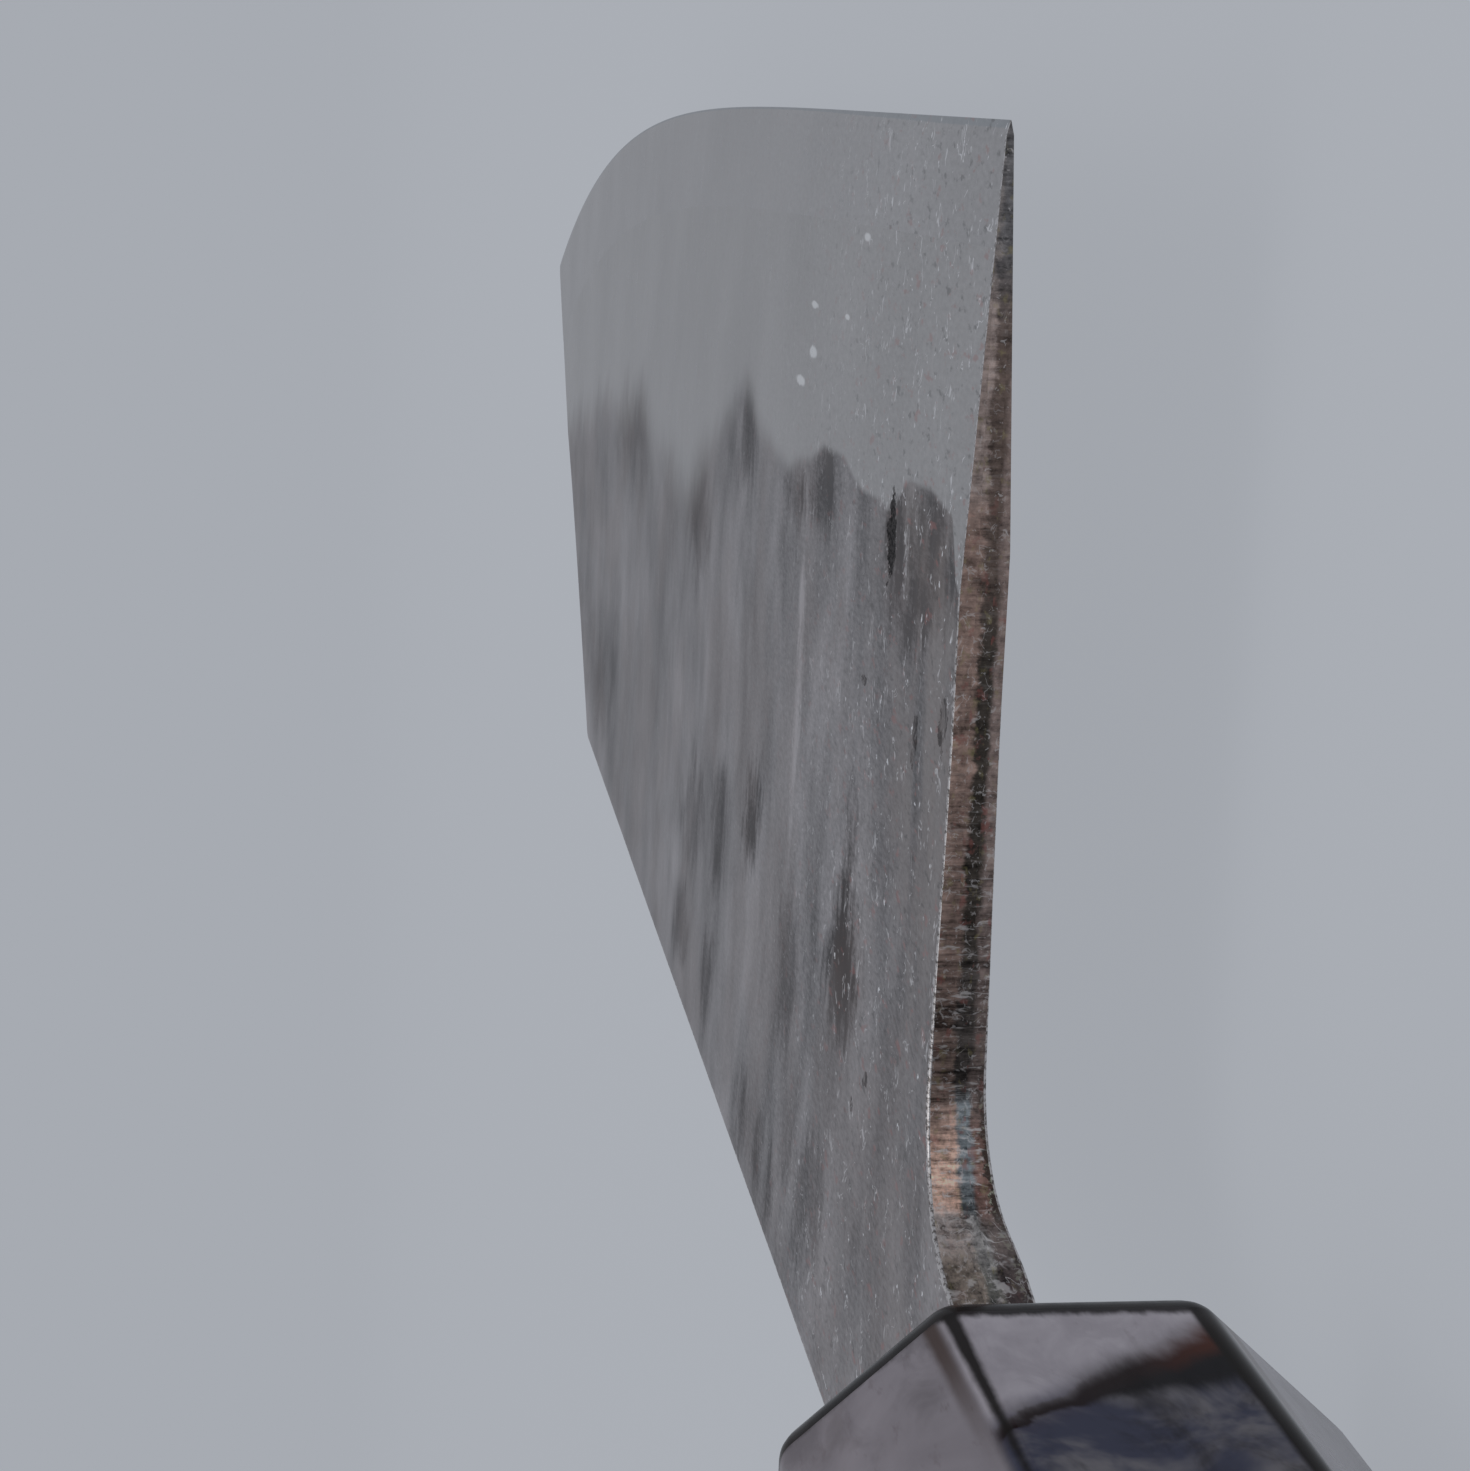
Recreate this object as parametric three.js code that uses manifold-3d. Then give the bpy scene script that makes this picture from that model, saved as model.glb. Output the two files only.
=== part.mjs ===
// Bunka knife: a three-layer blade with a clipped point, and an octagonal handle built on a slotted dowel.
// Millimetres. The knife lies on its side: +X runs from the butt to the point, the cutting edge faces -Y,
// and the face with the brighter bevel looks up, +Z. The origin is the middle of the handle's lower side facet.

import * as THREE from 'three';
import { mergeVertices } from 'three/addons/utils/BufferGeometryUtils.js';
import Module from 'manifold-3d';

const wasm = await Module();
wasm.setup();

// Blade outline. Lengths run from the heel towards the point, heights from the flat of the edge.
const bladeLength = 172;
const heelHeight = 48;
const spineDrop = 2;
const clipLength = 49.5;
const tipHeight = 14.7;
const edgeFlat = 20;
const edgeCurve = 3.4;

// Blade section at the heel, and the share of its thickness that is lost by the point. Above the bevel the
// face is dished: its thickness grows with a power of the height, where 1 would be straight.
const spineThickness = 3.3;
const bevelThickness = 1.46;
const faceCurve = 1.8;
const microBevelThickness = 0.22;
const microBevelHeight = 0.45;
const tipThinning = 0.45;

// The ground bevel grows taller away from the heel, and its upper line is scalloped by hand grinding.
const bevelHeelHeight = 13.2;
const bevelFullHeight = 18;
const bevelGrowth = 45;
const scallopPitch = 26;
const scallopDepth = 1.5;
const scallopShiftFront = 14;
const scallopShiftBack = 3;

// Layers of the blade.
const coreThickness = 0.55;
const weldGap = 0.01;

// Neck and tang. The neck is tallest at the heel and draws in to the handle's mouth.
const neckLength = 13.6;
const neckHeelHeight = 14.5;
const neckHeight = 10.6;
const neckThickness = 2.75;
const neckBlend = 5.5;
const choilRadius = 4.5;
const tangEndHeight = 6;
const tangEndThickness = 2;

// Handle outside: an octagon that grows from the mouth to the butt. Its slanted facets have a height, and
// run a little further across the handle than that.
const handleLength = 135;
const ferruleLength = 28;
const mouthWidth = 16;
const mouthHeight = 22.4;
const mouthSlantHeight = 4;
const mouthSlantWidth = 4.4;
const buttWidth = 17.9;
const buttHeight = 25;
const buttSlantHeight = 4.5;
const buttSlantWidth = 4.9;
const ridgeEase = 0.9;
const mouthEase = 2.4;
const buttEase = 1.8;

// Handle inside.
const dowelDiameter = 12;
const mouthWall = 6;
const sealWall = 0.7;
const beddingWall = 0.7;
const kerfSpare = 3;
const dowelSolid = 15;
const buttWood = 29;
const fitGap = 0.1;

// Mesh fineness.
const stationStep = 2;
const faceSteps = 4;
const easeSteps = 3;
const rimSteps = 5;
const dowelSides = 40;
const filletSteps = 10;

// Values that follow from the driving dimensions.
const axisHeight = heelHeight - neckHeight / 2;
const axisLift = (mouthWidth + buttWidth) / 4;
const mouthX = handleLength / 2;
const dowelLength = handleLength - mouthWall - buttWood;
const kerfLength = dowelLength - dowelSolid;
const tangLength = mouthWall + kerfLength - kerfSpare;
const tangRootHeight = dowelDiameter - 2 * beddingWall;
const kerfWidth = neckThickness + 2 * beddingWall;
const overshoot = 2;
const handleSpan = Math.max(mouthWidth, mouthHeight, buttWidth, buttHeight);

// Solids and meshes

function toSolid(geometry) {
  const bare = geometry.clone();
  bare.deleteAttribute('normal');
  bare.deleteAttribute('uv');
  const merged = mergeVertices(bare);
  const vertProperties = new Float32Array(merged.attributes.position.array);
  const triVerts = new Uint32Array(merged.index.array);
  return new wasm.Manifold(new wasm.Mesh({ numProp: 3, vertProperties, triVerts }));
}

function toGeometry(solid) {
  const mesh = solid.getMesh();
  const geometry = new THREE.BufferGeometry();
  geometry.setAttribute('position', new THREE.BufferAttribute(mesh.vertProperties, 3));
  geometry.setIndex(new THREE.BufferAttribute(mesh.triVerts, 1));
  geometry.computeVertexNormals();
  return geometry;
}

function boxSolid(from, to) {
  const size = new THREE.Vector3().subVectors(to, from);
  const box = new THREE.BoxGeometry(size.x, size.y, size.z);
  box.translate(from.x + size.x / 2, from.y + size.y / 2, from.z + size.z / 2);
  return toSolid(box);
}

// A cylinder along X.
function rodSolid(radius, fromX, toX) {
  const rod = new THREE.CylinderGeometry(radius, radius, toX - fromX, dowelSides);
  rod.rotateZ(Math.PI / 2);
  rod.translate((fromX + toX) / 2, 0, 0);
  return toSolid(rod);
}

// An outline in the plane of the blade, given a thickness that is even on both sides of that plane.
function plateSolid(outline, thickness) {
  const plate = new THREE.ExtrudeGeometry(outline, {
    depth: thickness,
    bevelEnabled: false,
    curveSegments: filletSteps,
  });
  plate.translate(0, 0, -thickness / 2);
  return toSolid(plate);
}

// Joins rings of equal count, which turn anticlockwise seen from +X and are listed from low X to high X.
function loftSolid(rings) {
  const count = rings[0].length;
  const last = rings.length - 1;
  const positions = rings.flat().flatMap((point) => [point.x, point.y, point.z]);
  const faces = [];
  for (let ring = 0; ring < last; ring += 1) {
    for (let side = 0; side < count; side += 1) {
      const next = (side + 1) % count;
      const low = ring * count;
      const high = low + count;
      faces.push(low + side, low + next, high + next);
      faces.push(low + side, high + next, high + side);
    }
  }
  for (const [ring, facesBack] of [[0, true], [last, false]]) {
    const flat = rings[ring].map((point) => new THREE.Vector2(point.y, point.z));
    for (const [a, b, c] of THREE.ShapeUtils.triangulateShape(flat, [])) {
      const corners = facesBack ? [a, c, b] : [a, b, c];
      faces.push(...corners.map((corner) => ring * count + corner));
    }
  }
  const geometry = new THREE.BufferGeometry();
  geometry.setAttribute('position', new THREE.Float32BufferAttribute(positions, 3));
  geometry.setIndex(faces);
  return toSolid(geometry);
}

function finish(name, solid, material) {
  const mesh = new THREE.Mesh(toGeometry(solid), material);
  mesh.name = name;
  return mesh;
}

// Blade

// The edge is flat behind, then sweeps up to the point.
function edgeAt(x) {
  const run = Math.max(0, x - edgeFlat) / (bladeLength - edgeFlat);
  return tipHeight * run ** edgeCurve;
}

// The straight spine line, carried on past the clip.
function spineAt(x) {
  return heelHeight - spineDrop * Math.max(0, x) / (bladeLength - clipLength);
}

function bevelHeightAt(x, shift) {
  const along = Math.max(0, x);
  const even = bevelFullHeight - (bevelFullHeight - bevelHeelHeight) * Math.exp(-along / bevelGrowth);
  const arch = Math.abs(Math.sin(Math.PI * (along - shift) / scallopPitch));
  return even - scallopDepth * arch;
}

function thinningAt(x) {
  return 1 - tipThinning * Math.max(0, x) / bladeLength;
}

// Half the thickness of neck and tang at a place behind the heel.
function tangHalfAt(x) {
  const inHandle = Math.max(0, -x - neckLength) / tangLength;
  return THREE.MathUtils.lerp(neckThickness, tangEndThickness, inHandle) / 2;
}

// One face of the section at x, from the micro bevel up past the spine, as heights and half thicknesses.
function faceProfile(x, shift) {
  const edge = edgeAt(x);
  const spine = spineAt(x);
  const thinning = thinningAt(x);
  const bevelHeight = bevelHeightAt(x, shift);
  const slope = (bevelThickness - microBevelThickness) / 2 / (bevelHeelHeight - microBevelHeight);
  const bevelHalf = microBevelThickness / 2 + slope * (bevelHeight - microBevelHeight);
  const neckShare = THREE.MathUtils.smoothstep(-x, 0, neckBlend);
  const shoulder = edge + bevelHeight;
  const rows = [[edge + microBevelHeight, microBevelThickness / 2 * thinning]];
  for (let step = 0; step <= faceSteps; step += 1) {
    const share = step / faceSteps;
    const height = THREE.MathUtils.lerp(shoulder, spine + overshoot, share);
    const half = THREE.MathUtils.lerp(bevelHalf, spineThickness / 2, share ** faceCurve) * thinning;
    rows.push([height, step === 0 ? half : THREE.MathUtils.lerp(half, tangHalfAt(x), neckShare)]);
  }
  return rows;
}

// The ground billet: a wedge that follows the edge and runs on, as a bar, through neck and tang.
function groundBillet() {
  const stations = [-neckLength - tangLength - overshoot];
  const neckStations = Math.ceil(neckLength / stationStep);
  for (let step = neckStations; step > 0; step -= 1) {
    stations.push(-neckLength * step / neckStations);
  }
  const bladeStations = Math.ceil((bladeLength + overshoot) / stationStep);
  for (let step = 0; step <= bladeStations; step += 1) {
    stations.push((bladeLength + overshoot) * step / bladeStations);
  }
  const rings = stations.map((x) => {
    const front = faceProfile(x, scallopShiftFront).map(([v, half]) => new THREE.Vector3(x, v, half));
    const back = faceProfile(x, scallopShiftBack).map(([v, half]) => new THREE.Vector3(x, v, -half));
    return [new THREE.Vector3(x, edgeAt(x), 0), ...back, ...front.reverse()];
  });
  return loftSolid(rings);
}

// Upper or lower line of the tang: the neck's height at the mouth, drawn in to the dowel, then to the end.
// A grown outline, as for the seal and the bedding, stands off the tang by the given margin.
function tangLine(side, margin) {
  return [
    [-neckLength, axisHeight + side * (neckHeight / 2 + margin)],
    [-neckLength - mouthWall, axisHeight + side * (tangRootHeight / 2 + margin)],
    [-neckLength - tangLength - margin, axisHeight + side * (tangEndHeight / 2 + margin)],
  ];
}

// What the billet is cut to: choil, fillet, neck, tang, spine and clipped point. The edge stays uncut.
function bladeOutline() {
  const clipX = bladeLength - clipLength;
  const clipSlope = (spineAt(clipX) - tipHeight) / clipLength;
  const corner = new THREE.Vector2(0, heelHeight - neckHeelHeight);
  const neckEnd = new THREE.Vector2(-neckLength, axisHeight - neckHeight / 2);
  const neckTurn = neckEnd.clone().sub(corner).angle() - Math.PI / 2;
  const filletReach = choilRadius * Math.tan(neckTurn / 2);
  const outline = new THREE.Shape();
  outline.moveTo(0, -overshoot);
  outline.lineTo(0, corner.y - filletReach);
  outline.absarc(-choilRadius, corner.y - filletReach, choilRadius, 0, neckTurn, false);
  for (const [x, v] of [...tangLine(-1, 0), ...tangLine(1, 0).reverse()]) {
    outline.lineTo(x, v);
  }
  outline.lineTo(0, heelHeight);
  outline.lineTo(clipX, spineAt(clipX));
  outline.lineTo(bladeLength + overshoot, tipHeight - clipSlope * overshoot);
  outline.lineTo(bladeLength + overshoot, -overshoot);
  return outline;
}

function bladeLayers() {
  const widest = Math.max(spineThickness, neckThickness) + 2 * overshoot;
  const blade = groundBillet().intersect(plateSolid(bladeOutline(), widest));
  const low = new THREE.Vector3(-neckLength - tangLength - overshoot, -overshoot, -widest);
  const high = new THREE.Vector3(bladeLength + overshoot, heelHeight + overshoot, widest);
  const layer = (from, to) => {
    const slab = boxSolid(low.clone().setZ(from), high.clone().setZ(to));
    return blade.intersect(slab);
  };
  const coreHalf = coreThickness / 2;
  return {
    core: layer(-coreHalf, coreHalf),
    front: layer(coreHalf + weldGap, widest),
    back: layer(-widest, -coreHalf - weldGap),
  };
}

// Handle. Its own frame has the mouth at x = 0 and runs to the butt along -X.

// An octagon whose eight ridges are eased. An inset draws it in on all sides and eases the ridges more.
function octagonRing(x, inset) {
  const along = -x / handleLength;
  const halfWidth = THREE.MathUtils.lerp(mouthWidth, buttWidth, along) / 2 - inset;
  const halfHeight = THREE.MathUtils.lerp(mouthHeight, buttHeight, along) / 2 - inset;
  const fullHeight = THREE.MathUtils.lerp(mouthSlantHeight, buttSlantHeight, along);
  const fullWidth = THREE.MathUtils.lerp(mouthSlantWidth, buttSlantWidth, along);
  const shrink = inset * (fullHeight + fullWidth - Math.hypot(fullHeight, fullWidth));
  const slantHeight = fullHeight - shrink / fullWidth;
  const slantWidth = fullWidth - shrink / fullHeight;
  const corners = [];
  for (const [sideY, sideZ] of [[1, 1], [-1, 1], [-1, -1], [1, -1]]) {
    const onFlat = new THREE.Vector2(sideY * (halfHeight - slantHeight), sideZ * halfWidth);
    const onEdge = new THREE.Vector2(sideY * halfHeight, sideZ * (halfWidth - slantWidth));
    corners.push(...(sideY * sideZ > 0 ? [onEdge, onFlat] : [onFlat, onEdge]));
  }
  const reach = (ridgeEase + inset) * Math.tan(Math.PI / 8);
  return corners.flatMap((corner, index) => {
    const before = corners[(index + corners.length - 1) % corners.length];
    const after = corners[(index + 1) % corners.length];
    const start = corner.clone().add(before.clone().sub(corner).setLength(reach));
    const end = corner.clone().add(after.clone().sub(corner).setLength(reach));
    const ease = new THREE.QuadraticBezierCurve(start, corner, end);
    return ease.getPoints(easeSteps).map((point) => new THREE.Vector3(x, point.x, point.y));
  });
}

// Rings that round an end over: from the flat end face, drawn in, out to the full section.
function roundedEnd(endX, inward, ease) {
  const rings = [];
  for (let step = 0; step <= rimSteps; step += 1) {
    const turn = Math.PI / 2 * step / rimSteps;
    rings.push(octagonRing(endX + inward * ease * (1 - Math.cos(turn)), ease * (1 - Math.sin(turn))));
  }
  return rings;
}

// The room taken by neck and tang, grown by a margin, in the handle's frame.
function tangRoom(margin, thickness) {
  const mouthReach = neckHeight / 2 + margin;
  const outline = new THREE.Shape();
  outline.moveTo(overshoot, -mouthReach);
  for (const [x, v] of [...tangLine(-1, margin), ...tangLine(1, margin).reverse()]) {
    outline.lineTo(x + neckLength, v - axisHeight);
  }
  outline.lineTo(overshoot, mouthReach);
  return plateSolid(outline, thickness);
}

function handlePieces() {
  const boreRadius = dowelDiameter / 2 + fitGap;
  const dowelFront = -mouthWall - fitGap;
  const dowelEnd = -mouthWall - dowelLength;
  const kerfEnd = -mouthWall - kerfLength;
  const bore = rodSolid(boreRadius, dowelEnd - fitGap, -mouthWall);

  const mouthMargin = sealWall + fitGap;
  const mouthSlot = tangRoom(mouthMargin, neckThickness + 2 * mouthMargin);
  const ferruleRings = [octagonRing(-ferruleLength, 0), ...roundedEnd(0, -1, mouthEase).reverse()];
  const ferrule = loftSolid(ferruleRings).subtract(bore).subtract(mouthSlot);

  const bodyRings = [...roundedEnd(-handleLength, 1, buttEase), octagonRing(-ferruleLength, 0)];
  const body = loftSolid(bodyRings).subtract(bore);

  const rod = rodSolid(dowelDiameter / 2, dowelEnd, dowelFront);
  const kerf = (margin) => boxSolid(
    new THREE.Vector3(kerfEnd + margin, -handleSpan, margin - kerfWidth / 2),
    new THREE.Vector3(overshoot, handleSpan, kerfWidth / 2 - margin),
  );
  const dowel = rod.subtract(kerf(0));

  const tangClear = tangRoom(fitGap, neckThickness + 2 * fitGap);
  const bedding = rod.intersect(kerf(fitGap)).subtract(tangClear);

  const mouthSpace = boxSolid(
    new THREE.Vector3(-mouthWall, -handleSpan, -handleSpan),
    new THREE.Vector3(0, handleSpan, handleSpan),
  );
  const seal = tangRoom(sealWall, neckThickness + 2 * sealWall).intersect(mouthSpace).subtract(tangClear);
  return { ferrule, body, dowel, bedding, seal };
}

// Finishes

function finishOf(color, roughness, metalness) {
  return new THREE.MeshStandardMaterial({ color, roughness, metalness });
}

const coreFinish = finishOf(0x8b8d90, 0.35, 1);
const claddingFinish = finishOf(0x737376, 0.45, 1);
const hornFinish = finishOf(0x1c1716, 0.15, 0);
const gripFinish = finishOf(0x5b3a26, 0.5, 0);
const dowelFinish = finishOf(0xb98f5f, 0.7, 0);
const beddingFinish = finishOf(0xc9b283, 0.4, 0);
const sealFinish = finishOf(0x2b2420, 0.55, 0);

// Assembly

const layers = bladeLayers();
const blade = new THREE.Group();
blade.position.set(mouthX + neckLength, -axisHeight, axisLift);
blade.add(finish('core_steel', layers.core, coreFinish));
blade.add(finish('cladding_front', layers.front, claddingFinish));
blade.add(finish('cladding_back', layers.back, claddingFinish));

const pieces = handlePieces();
const handle = new THREE.Group();
handle.position.set(mouthX, 0, axisLift);
handle.add(finish('ferrule', pieces.ferrule, hornFinish));
handle.add(finish('handle_body', pieces.body, gripFinish));
handle.add(finish('tang_dowel', pieces.dowel, dowelFinish));
handle.add(finish('tang_bedding', pieces.bedding, beddingFinish));
handle.add(finish('mouth_seal', pieces.seal, sealFinish));

const knife = new THREE.Group();
knife.add(blade, handle);

export default knife;
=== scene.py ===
"""Looks of the bunka knife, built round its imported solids. Lengths are millimetres until a mesh is made."""

import math

import bmesh
import bpy
import numpy as np
from mathutils import Matrix, Vector


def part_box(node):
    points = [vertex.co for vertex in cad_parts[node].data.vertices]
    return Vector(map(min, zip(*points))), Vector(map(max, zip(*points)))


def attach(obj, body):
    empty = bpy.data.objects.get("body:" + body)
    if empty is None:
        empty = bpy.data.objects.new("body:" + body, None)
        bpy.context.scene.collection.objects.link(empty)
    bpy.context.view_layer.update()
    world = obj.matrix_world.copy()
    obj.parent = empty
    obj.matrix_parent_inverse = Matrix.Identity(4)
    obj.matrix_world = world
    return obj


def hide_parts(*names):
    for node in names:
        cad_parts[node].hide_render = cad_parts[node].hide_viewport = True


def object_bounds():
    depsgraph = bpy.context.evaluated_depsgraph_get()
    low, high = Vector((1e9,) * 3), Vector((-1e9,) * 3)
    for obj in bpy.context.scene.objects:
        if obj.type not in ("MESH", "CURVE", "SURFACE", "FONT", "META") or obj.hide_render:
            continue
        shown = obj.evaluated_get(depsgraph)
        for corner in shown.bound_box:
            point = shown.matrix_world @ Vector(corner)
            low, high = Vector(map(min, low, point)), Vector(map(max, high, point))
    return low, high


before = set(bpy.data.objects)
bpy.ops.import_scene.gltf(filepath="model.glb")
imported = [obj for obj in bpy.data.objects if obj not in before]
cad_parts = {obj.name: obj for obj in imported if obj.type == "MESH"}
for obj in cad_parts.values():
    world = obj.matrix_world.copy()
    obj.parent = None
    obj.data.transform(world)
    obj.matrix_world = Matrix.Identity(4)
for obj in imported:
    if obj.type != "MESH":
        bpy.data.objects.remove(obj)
cad_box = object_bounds()

MM = 0.001

# Blade outline, as in the solids. Lengths run from the heel to the point, heights from the flat of the edge.
BLADE_LENGTH = 172
HEEL_HEIGHT = 48
SPINE_DROP = 2
CLIP_LENGTH = 49.5
TIP_HEIGHT = 14.7
EDGE_FLAT = 20
EDGE_CURVE = 3.4

# Blade section.
SPINE_THICKNESS = 3.3
BEVEL_THICKNESS = 1.46
BEVEL_HEEL_HEIGHT = 13.2
FACE_CURVE = 1.8
FACE_OVERSHOOT = 2
MICRO_BEVEL_THICKNESS = 0.22
MICRO_BEVEL_HEIGHT = 0.45
TIP_THINNING = 0.45
CORE_THICKNESS = 0.55
BORDER_EASE = 0.2

# Least thickness of the cladding, reached at this height above the line where the core comes out.
LEAST_CLADDING = 0.004
LEAST_RISE = 0.2

# Wear of the eased border: the heights between which it grows, and the share that it adds.
BORDER_WEAR = [(14, 20, 0.2), (26, 31, 0.4)]

# Low waves of the forged face: length along the blade, lean, phase and size. They grow over the first
# millimetres above the bevel and inside the border.
FORGED_WAVES = [(9.1, 0.03, 0.4, 0.007), (5.3, -0.05, 2.1, 0.004), (3.1, 0.08, 4.0, 0.0025)]
WAVE_RISE = 5
WAVE_BORDER = 3

# Neck and tang.
NECK_LENGTH = 13.6
NECK_HEEL_HEIGHT = 14.5
NECK_HEIGHT = 10.6
NECK_THICKNESS = 2.75
NECK_BLEND = 5.5
CHOIL_RADIUS = 4.5
TANG_LENGTH = 88
TANG_END_HEIGHT = 6
TANG_END_THICKNESS = 2

# Handle.
MOUTH_WIDTH = 16
MOUTH_HEIGHT = 22.4
MOUTH_SLANT_HEIGHT = 4
MOUTH_SLANT_WIDTH = 4.4
BUTT_WIDTH = 17.9
BUTT_HEIGHT = 25
BUTT_SLANT_HEIGHT = 4.5
BUTT_SLANT_WIDTH = 4.9
RIDGE_EASE = 0.9
MOUTH_EASE = 2.4
BUTT_EASE = 1.8
DOWEL_DIAMETER = 12
DOWEL_LENGTH = 100
MOUTH_WALL = 6
SEAL_WALL = 0.7
FIT_GAP = 0.1
JOINT_EASE = 0.12
JOINT_TURN = 0.3 * JOINT_EASE
RIM_MARGIN = 0.08
SEAL_RECESS = 0.05
SEAL_MENISCUS = 0.25

# Fineness of the blade's grid: columns, steps between columns near the heel and further on, and rows.
TANG_COLUMNS = 12
NECK_COLUMNS = 26
FILLET_COLUMNS = 18
NEAR_END = 46
FRONT_STEPS = (0.25, 0.6)
BACK_STEPS = (0.4, 0.8)
CORE_STEPS = (0.5, 1.0)
CLADDING_ROWS = (30, 44, 40)
CORE_ROWS = (2, 16, 10, 12)
EASE_SHARES = [0, 0.06, 0.22, 0.5, 1]

# Limits that keep the grid open towards the point, as lengths and as shares of the blade's height there.
END_SEARCH = 4000
END_ROOM = 0.3
POINT_MARGIN = 0.12
SHOULDER_LIMIT = 0.6
CLAD_LIMIT = 0.7
MICRO_LIMIT = 0.2

# Steps round the handle's ridges, along its facets and over its ends, and the squareness of its slot.
EASE_STEPS = 8
FACET_STEPS = 6
RIM_STEPS = 12
SLOT_POWER = 14

# Angles up to which a mesh is shaded smooth, and the distance in metres at which its points merge.
BLADE_SMOOTH = math.radians(50)
HANDLE_SMOOTH = math.radians(40)
MERGE_DISTANCE = 2e-7

# Places, from the solids.
core_low, core_high = (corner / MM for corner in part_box("core_steel"))
ferrule_low, ferrule_high = (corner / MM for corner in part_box("ferrule"))
body_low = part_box("handle_body")[0] / MM
HEEL = Vector((core_high.x - BLADE_LENGTH, core_low.y, (core_low.z + core_high.z) / 2))
AXIS_HEIGHT = HEEL_HEIGHT - NECK_HEIGHT / 2
AXIS_Y = HEEL.y + AXIS_HEIGHT
AXIS_Z = HEEL.z
MOUTH_X = ferrule_high.x
JOINT_X = ferrule_low.x
BUTT_X = body_low.x
HANDLE_LENGTH = MOUTH_X - BUTT_X

# Upper line of the ground bevel: places along the blade and heights above the edge.
FRONT_BEVEL = [
    (0.2, 14.5), (2.6, 12.3), (6, 12.0), (9, 12.2), (13, 13.6), (19, 13.6), (23, 13.0), (26.5, 13.0),
    (31, 14.3), (36, 14.9), (43, 14.5), (49, 12.9), (53, 14.0), (62, 17.5), (70, 20.0), (84, 19.6),
    (96, 16.8), (110, 17.8), (150, 18.0),
]
BACK_BEVEL = [
    (0, 13.2), (7, 12.2), (14, 13.6), (25, 12.8), (38, 14.6),
    (52, 14.0), (66, 17.0), (82, 18.2), (97, 17.0), (120, 18.2),
]

# Pits in the front face: place and half size, along and up the blade, and depth.
FRONT_PITS = [
    (12.0, 14.6, 0.82, 1.9, 0.05),
    (1.7, 19.0, 0.9, 1.1, 0.03),
    (15.8, 20.4, 0.6, 0.3, 0.02),
    (6.2, 20.6, 0.5, 1.0, 0.02),
    (10.4, 34.0, 0.5, 0.4, 0.02),
    (12.6, 35.7, 0.4, 0.5, 0.02),
]
SHALLOW_PIT = 0.04

# Dark stains, and painted highlights (pale gleams), on the front face: place and half size, along and up the
# blade, and strength.
FRONT_STAINS = [
    (16.3, 27.2, 2.2, 3.2, 0.40),
    (16.3, 29.8, 4.2, 3.2, 0.44),
    (16.2, 31.8, 5.8, 2.8, 0.46),
    (28.0, 15.0, 5.6, 2.2, 0.27),
    (32.5, 15.9, 4.4, 1.7, 0.24),
    (6.0, 14.6, 8.0, 3.4, 0.36),
    (48.8, 15.0, 4.0, 3.4, 0.24),
    (41.0, 32.2, 3.2, 3.8, 0.50),
    (51.3, 35.0, 3.6, 4.2, 0.22),
    (28.0, 35.0, 3.4, 4.4, 0.18),
    (64.0, 21.0, 5.0, 5.0, 0.22),
    (100.0, 20.5, 14.0, 4.4, 0.11),
    (37.5, 45.0, 3.0, 3.2, 0.26),
    (61.0, 36.6, 5.0, 3.8, 0.26),
    (52.5, 43.0, 3.2, 3.0, 0.26),
    (63.5, 43.6, 4.0, 3.0, 0.24),
    (28.5, 45.2, 1.6, 2.2, 0.24),
    (32.5, 45.2, 1.6, 2.2, 0.24),
    (20.0, 42.6, 6.0, 3.6, 0.20),
    (117.0, 41.0, 13.0, 5.0, 0.13),
]
FRONT_PAINTED_GLEAMS = [
    (30.6, 19.8, 0.8, 2.8, 0.62),
    (30.1, 25.5, 1.2, 8.5, 0.42),
    (25.0, 24.5, 6.5, 7.0, 0.15),
    (70.0, 31.5, 6.0, 3.4, 0.20),
    (46.0, 38.4, 2.2, 3.2, 0.18),
    (67.5, 40.6, 4.0, 2.4, 0.16),
    (21.5, 39.0, 2.2, 5.0, 0.12),
    (12.6, 30.6, 1.0, 3.2, 0.16),
]

# Painted highlights on the bevel, bright glints: place and half size, along and up the blade.
FRONT_PAINTED_GLINTS = [
    (31.6, 9.8, 1.0, 0.24),
    (34.2, 11.2, 1.3, 0.22),
    (32.2, 7.9, 1.0, 0.15),
    (24.4, 7.8, 0.6, 0.12),
    (21.6, 4.6, 0.7, 0.17),
]


def smooth_step(low, high, value):
    share = np.clip((value - low) / (high - low), 0, 1)
    return share * share * (3 - 2 * share)


# Blade shape


def edge_height(x):
    run = np.maximum(0, x - EDGE_FLAT) / (BLADE_LENGTH - EDGE_FLAT)
    return TIP_HEIGHT * run**EDGE_CURVE


def spine_height(x):
    return HEEL_HEIGHT - SPINE_DROP * np.maximum(0, x) / (BLADE_LENGTH - CLIP_LENGTH)


CLIP_SLOPE = (HEEL_HEIGHT - SPINE_DROP - TIP_HEIGHT) / CLIP_LENGTH


def clip_height(x):
    return TIP_HEIGHT + CLIP_SLOPE * (BLADE_LENGTH - x)


def tang_reach(x):
    """Half the height of the tang, which is even along the neck's top."""
    stations = [NECK_LENGTH, NECK_LENGTH + MOUTH_WALL, NECK_LENGTH + TANG_LENGTH]
    return np.interp(-x, stations, [NECK_HEIGHT / 2, NECK_HEIGHT / 2, TANG_END_HEIGHT / 2])


def top_height(x):
    on_blade = np.minimum(spine_height(x), clip_height(x))
    return np.where(x < 0, AXIS_HEIGHT + tang_reach(x), on_blade)


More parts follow.
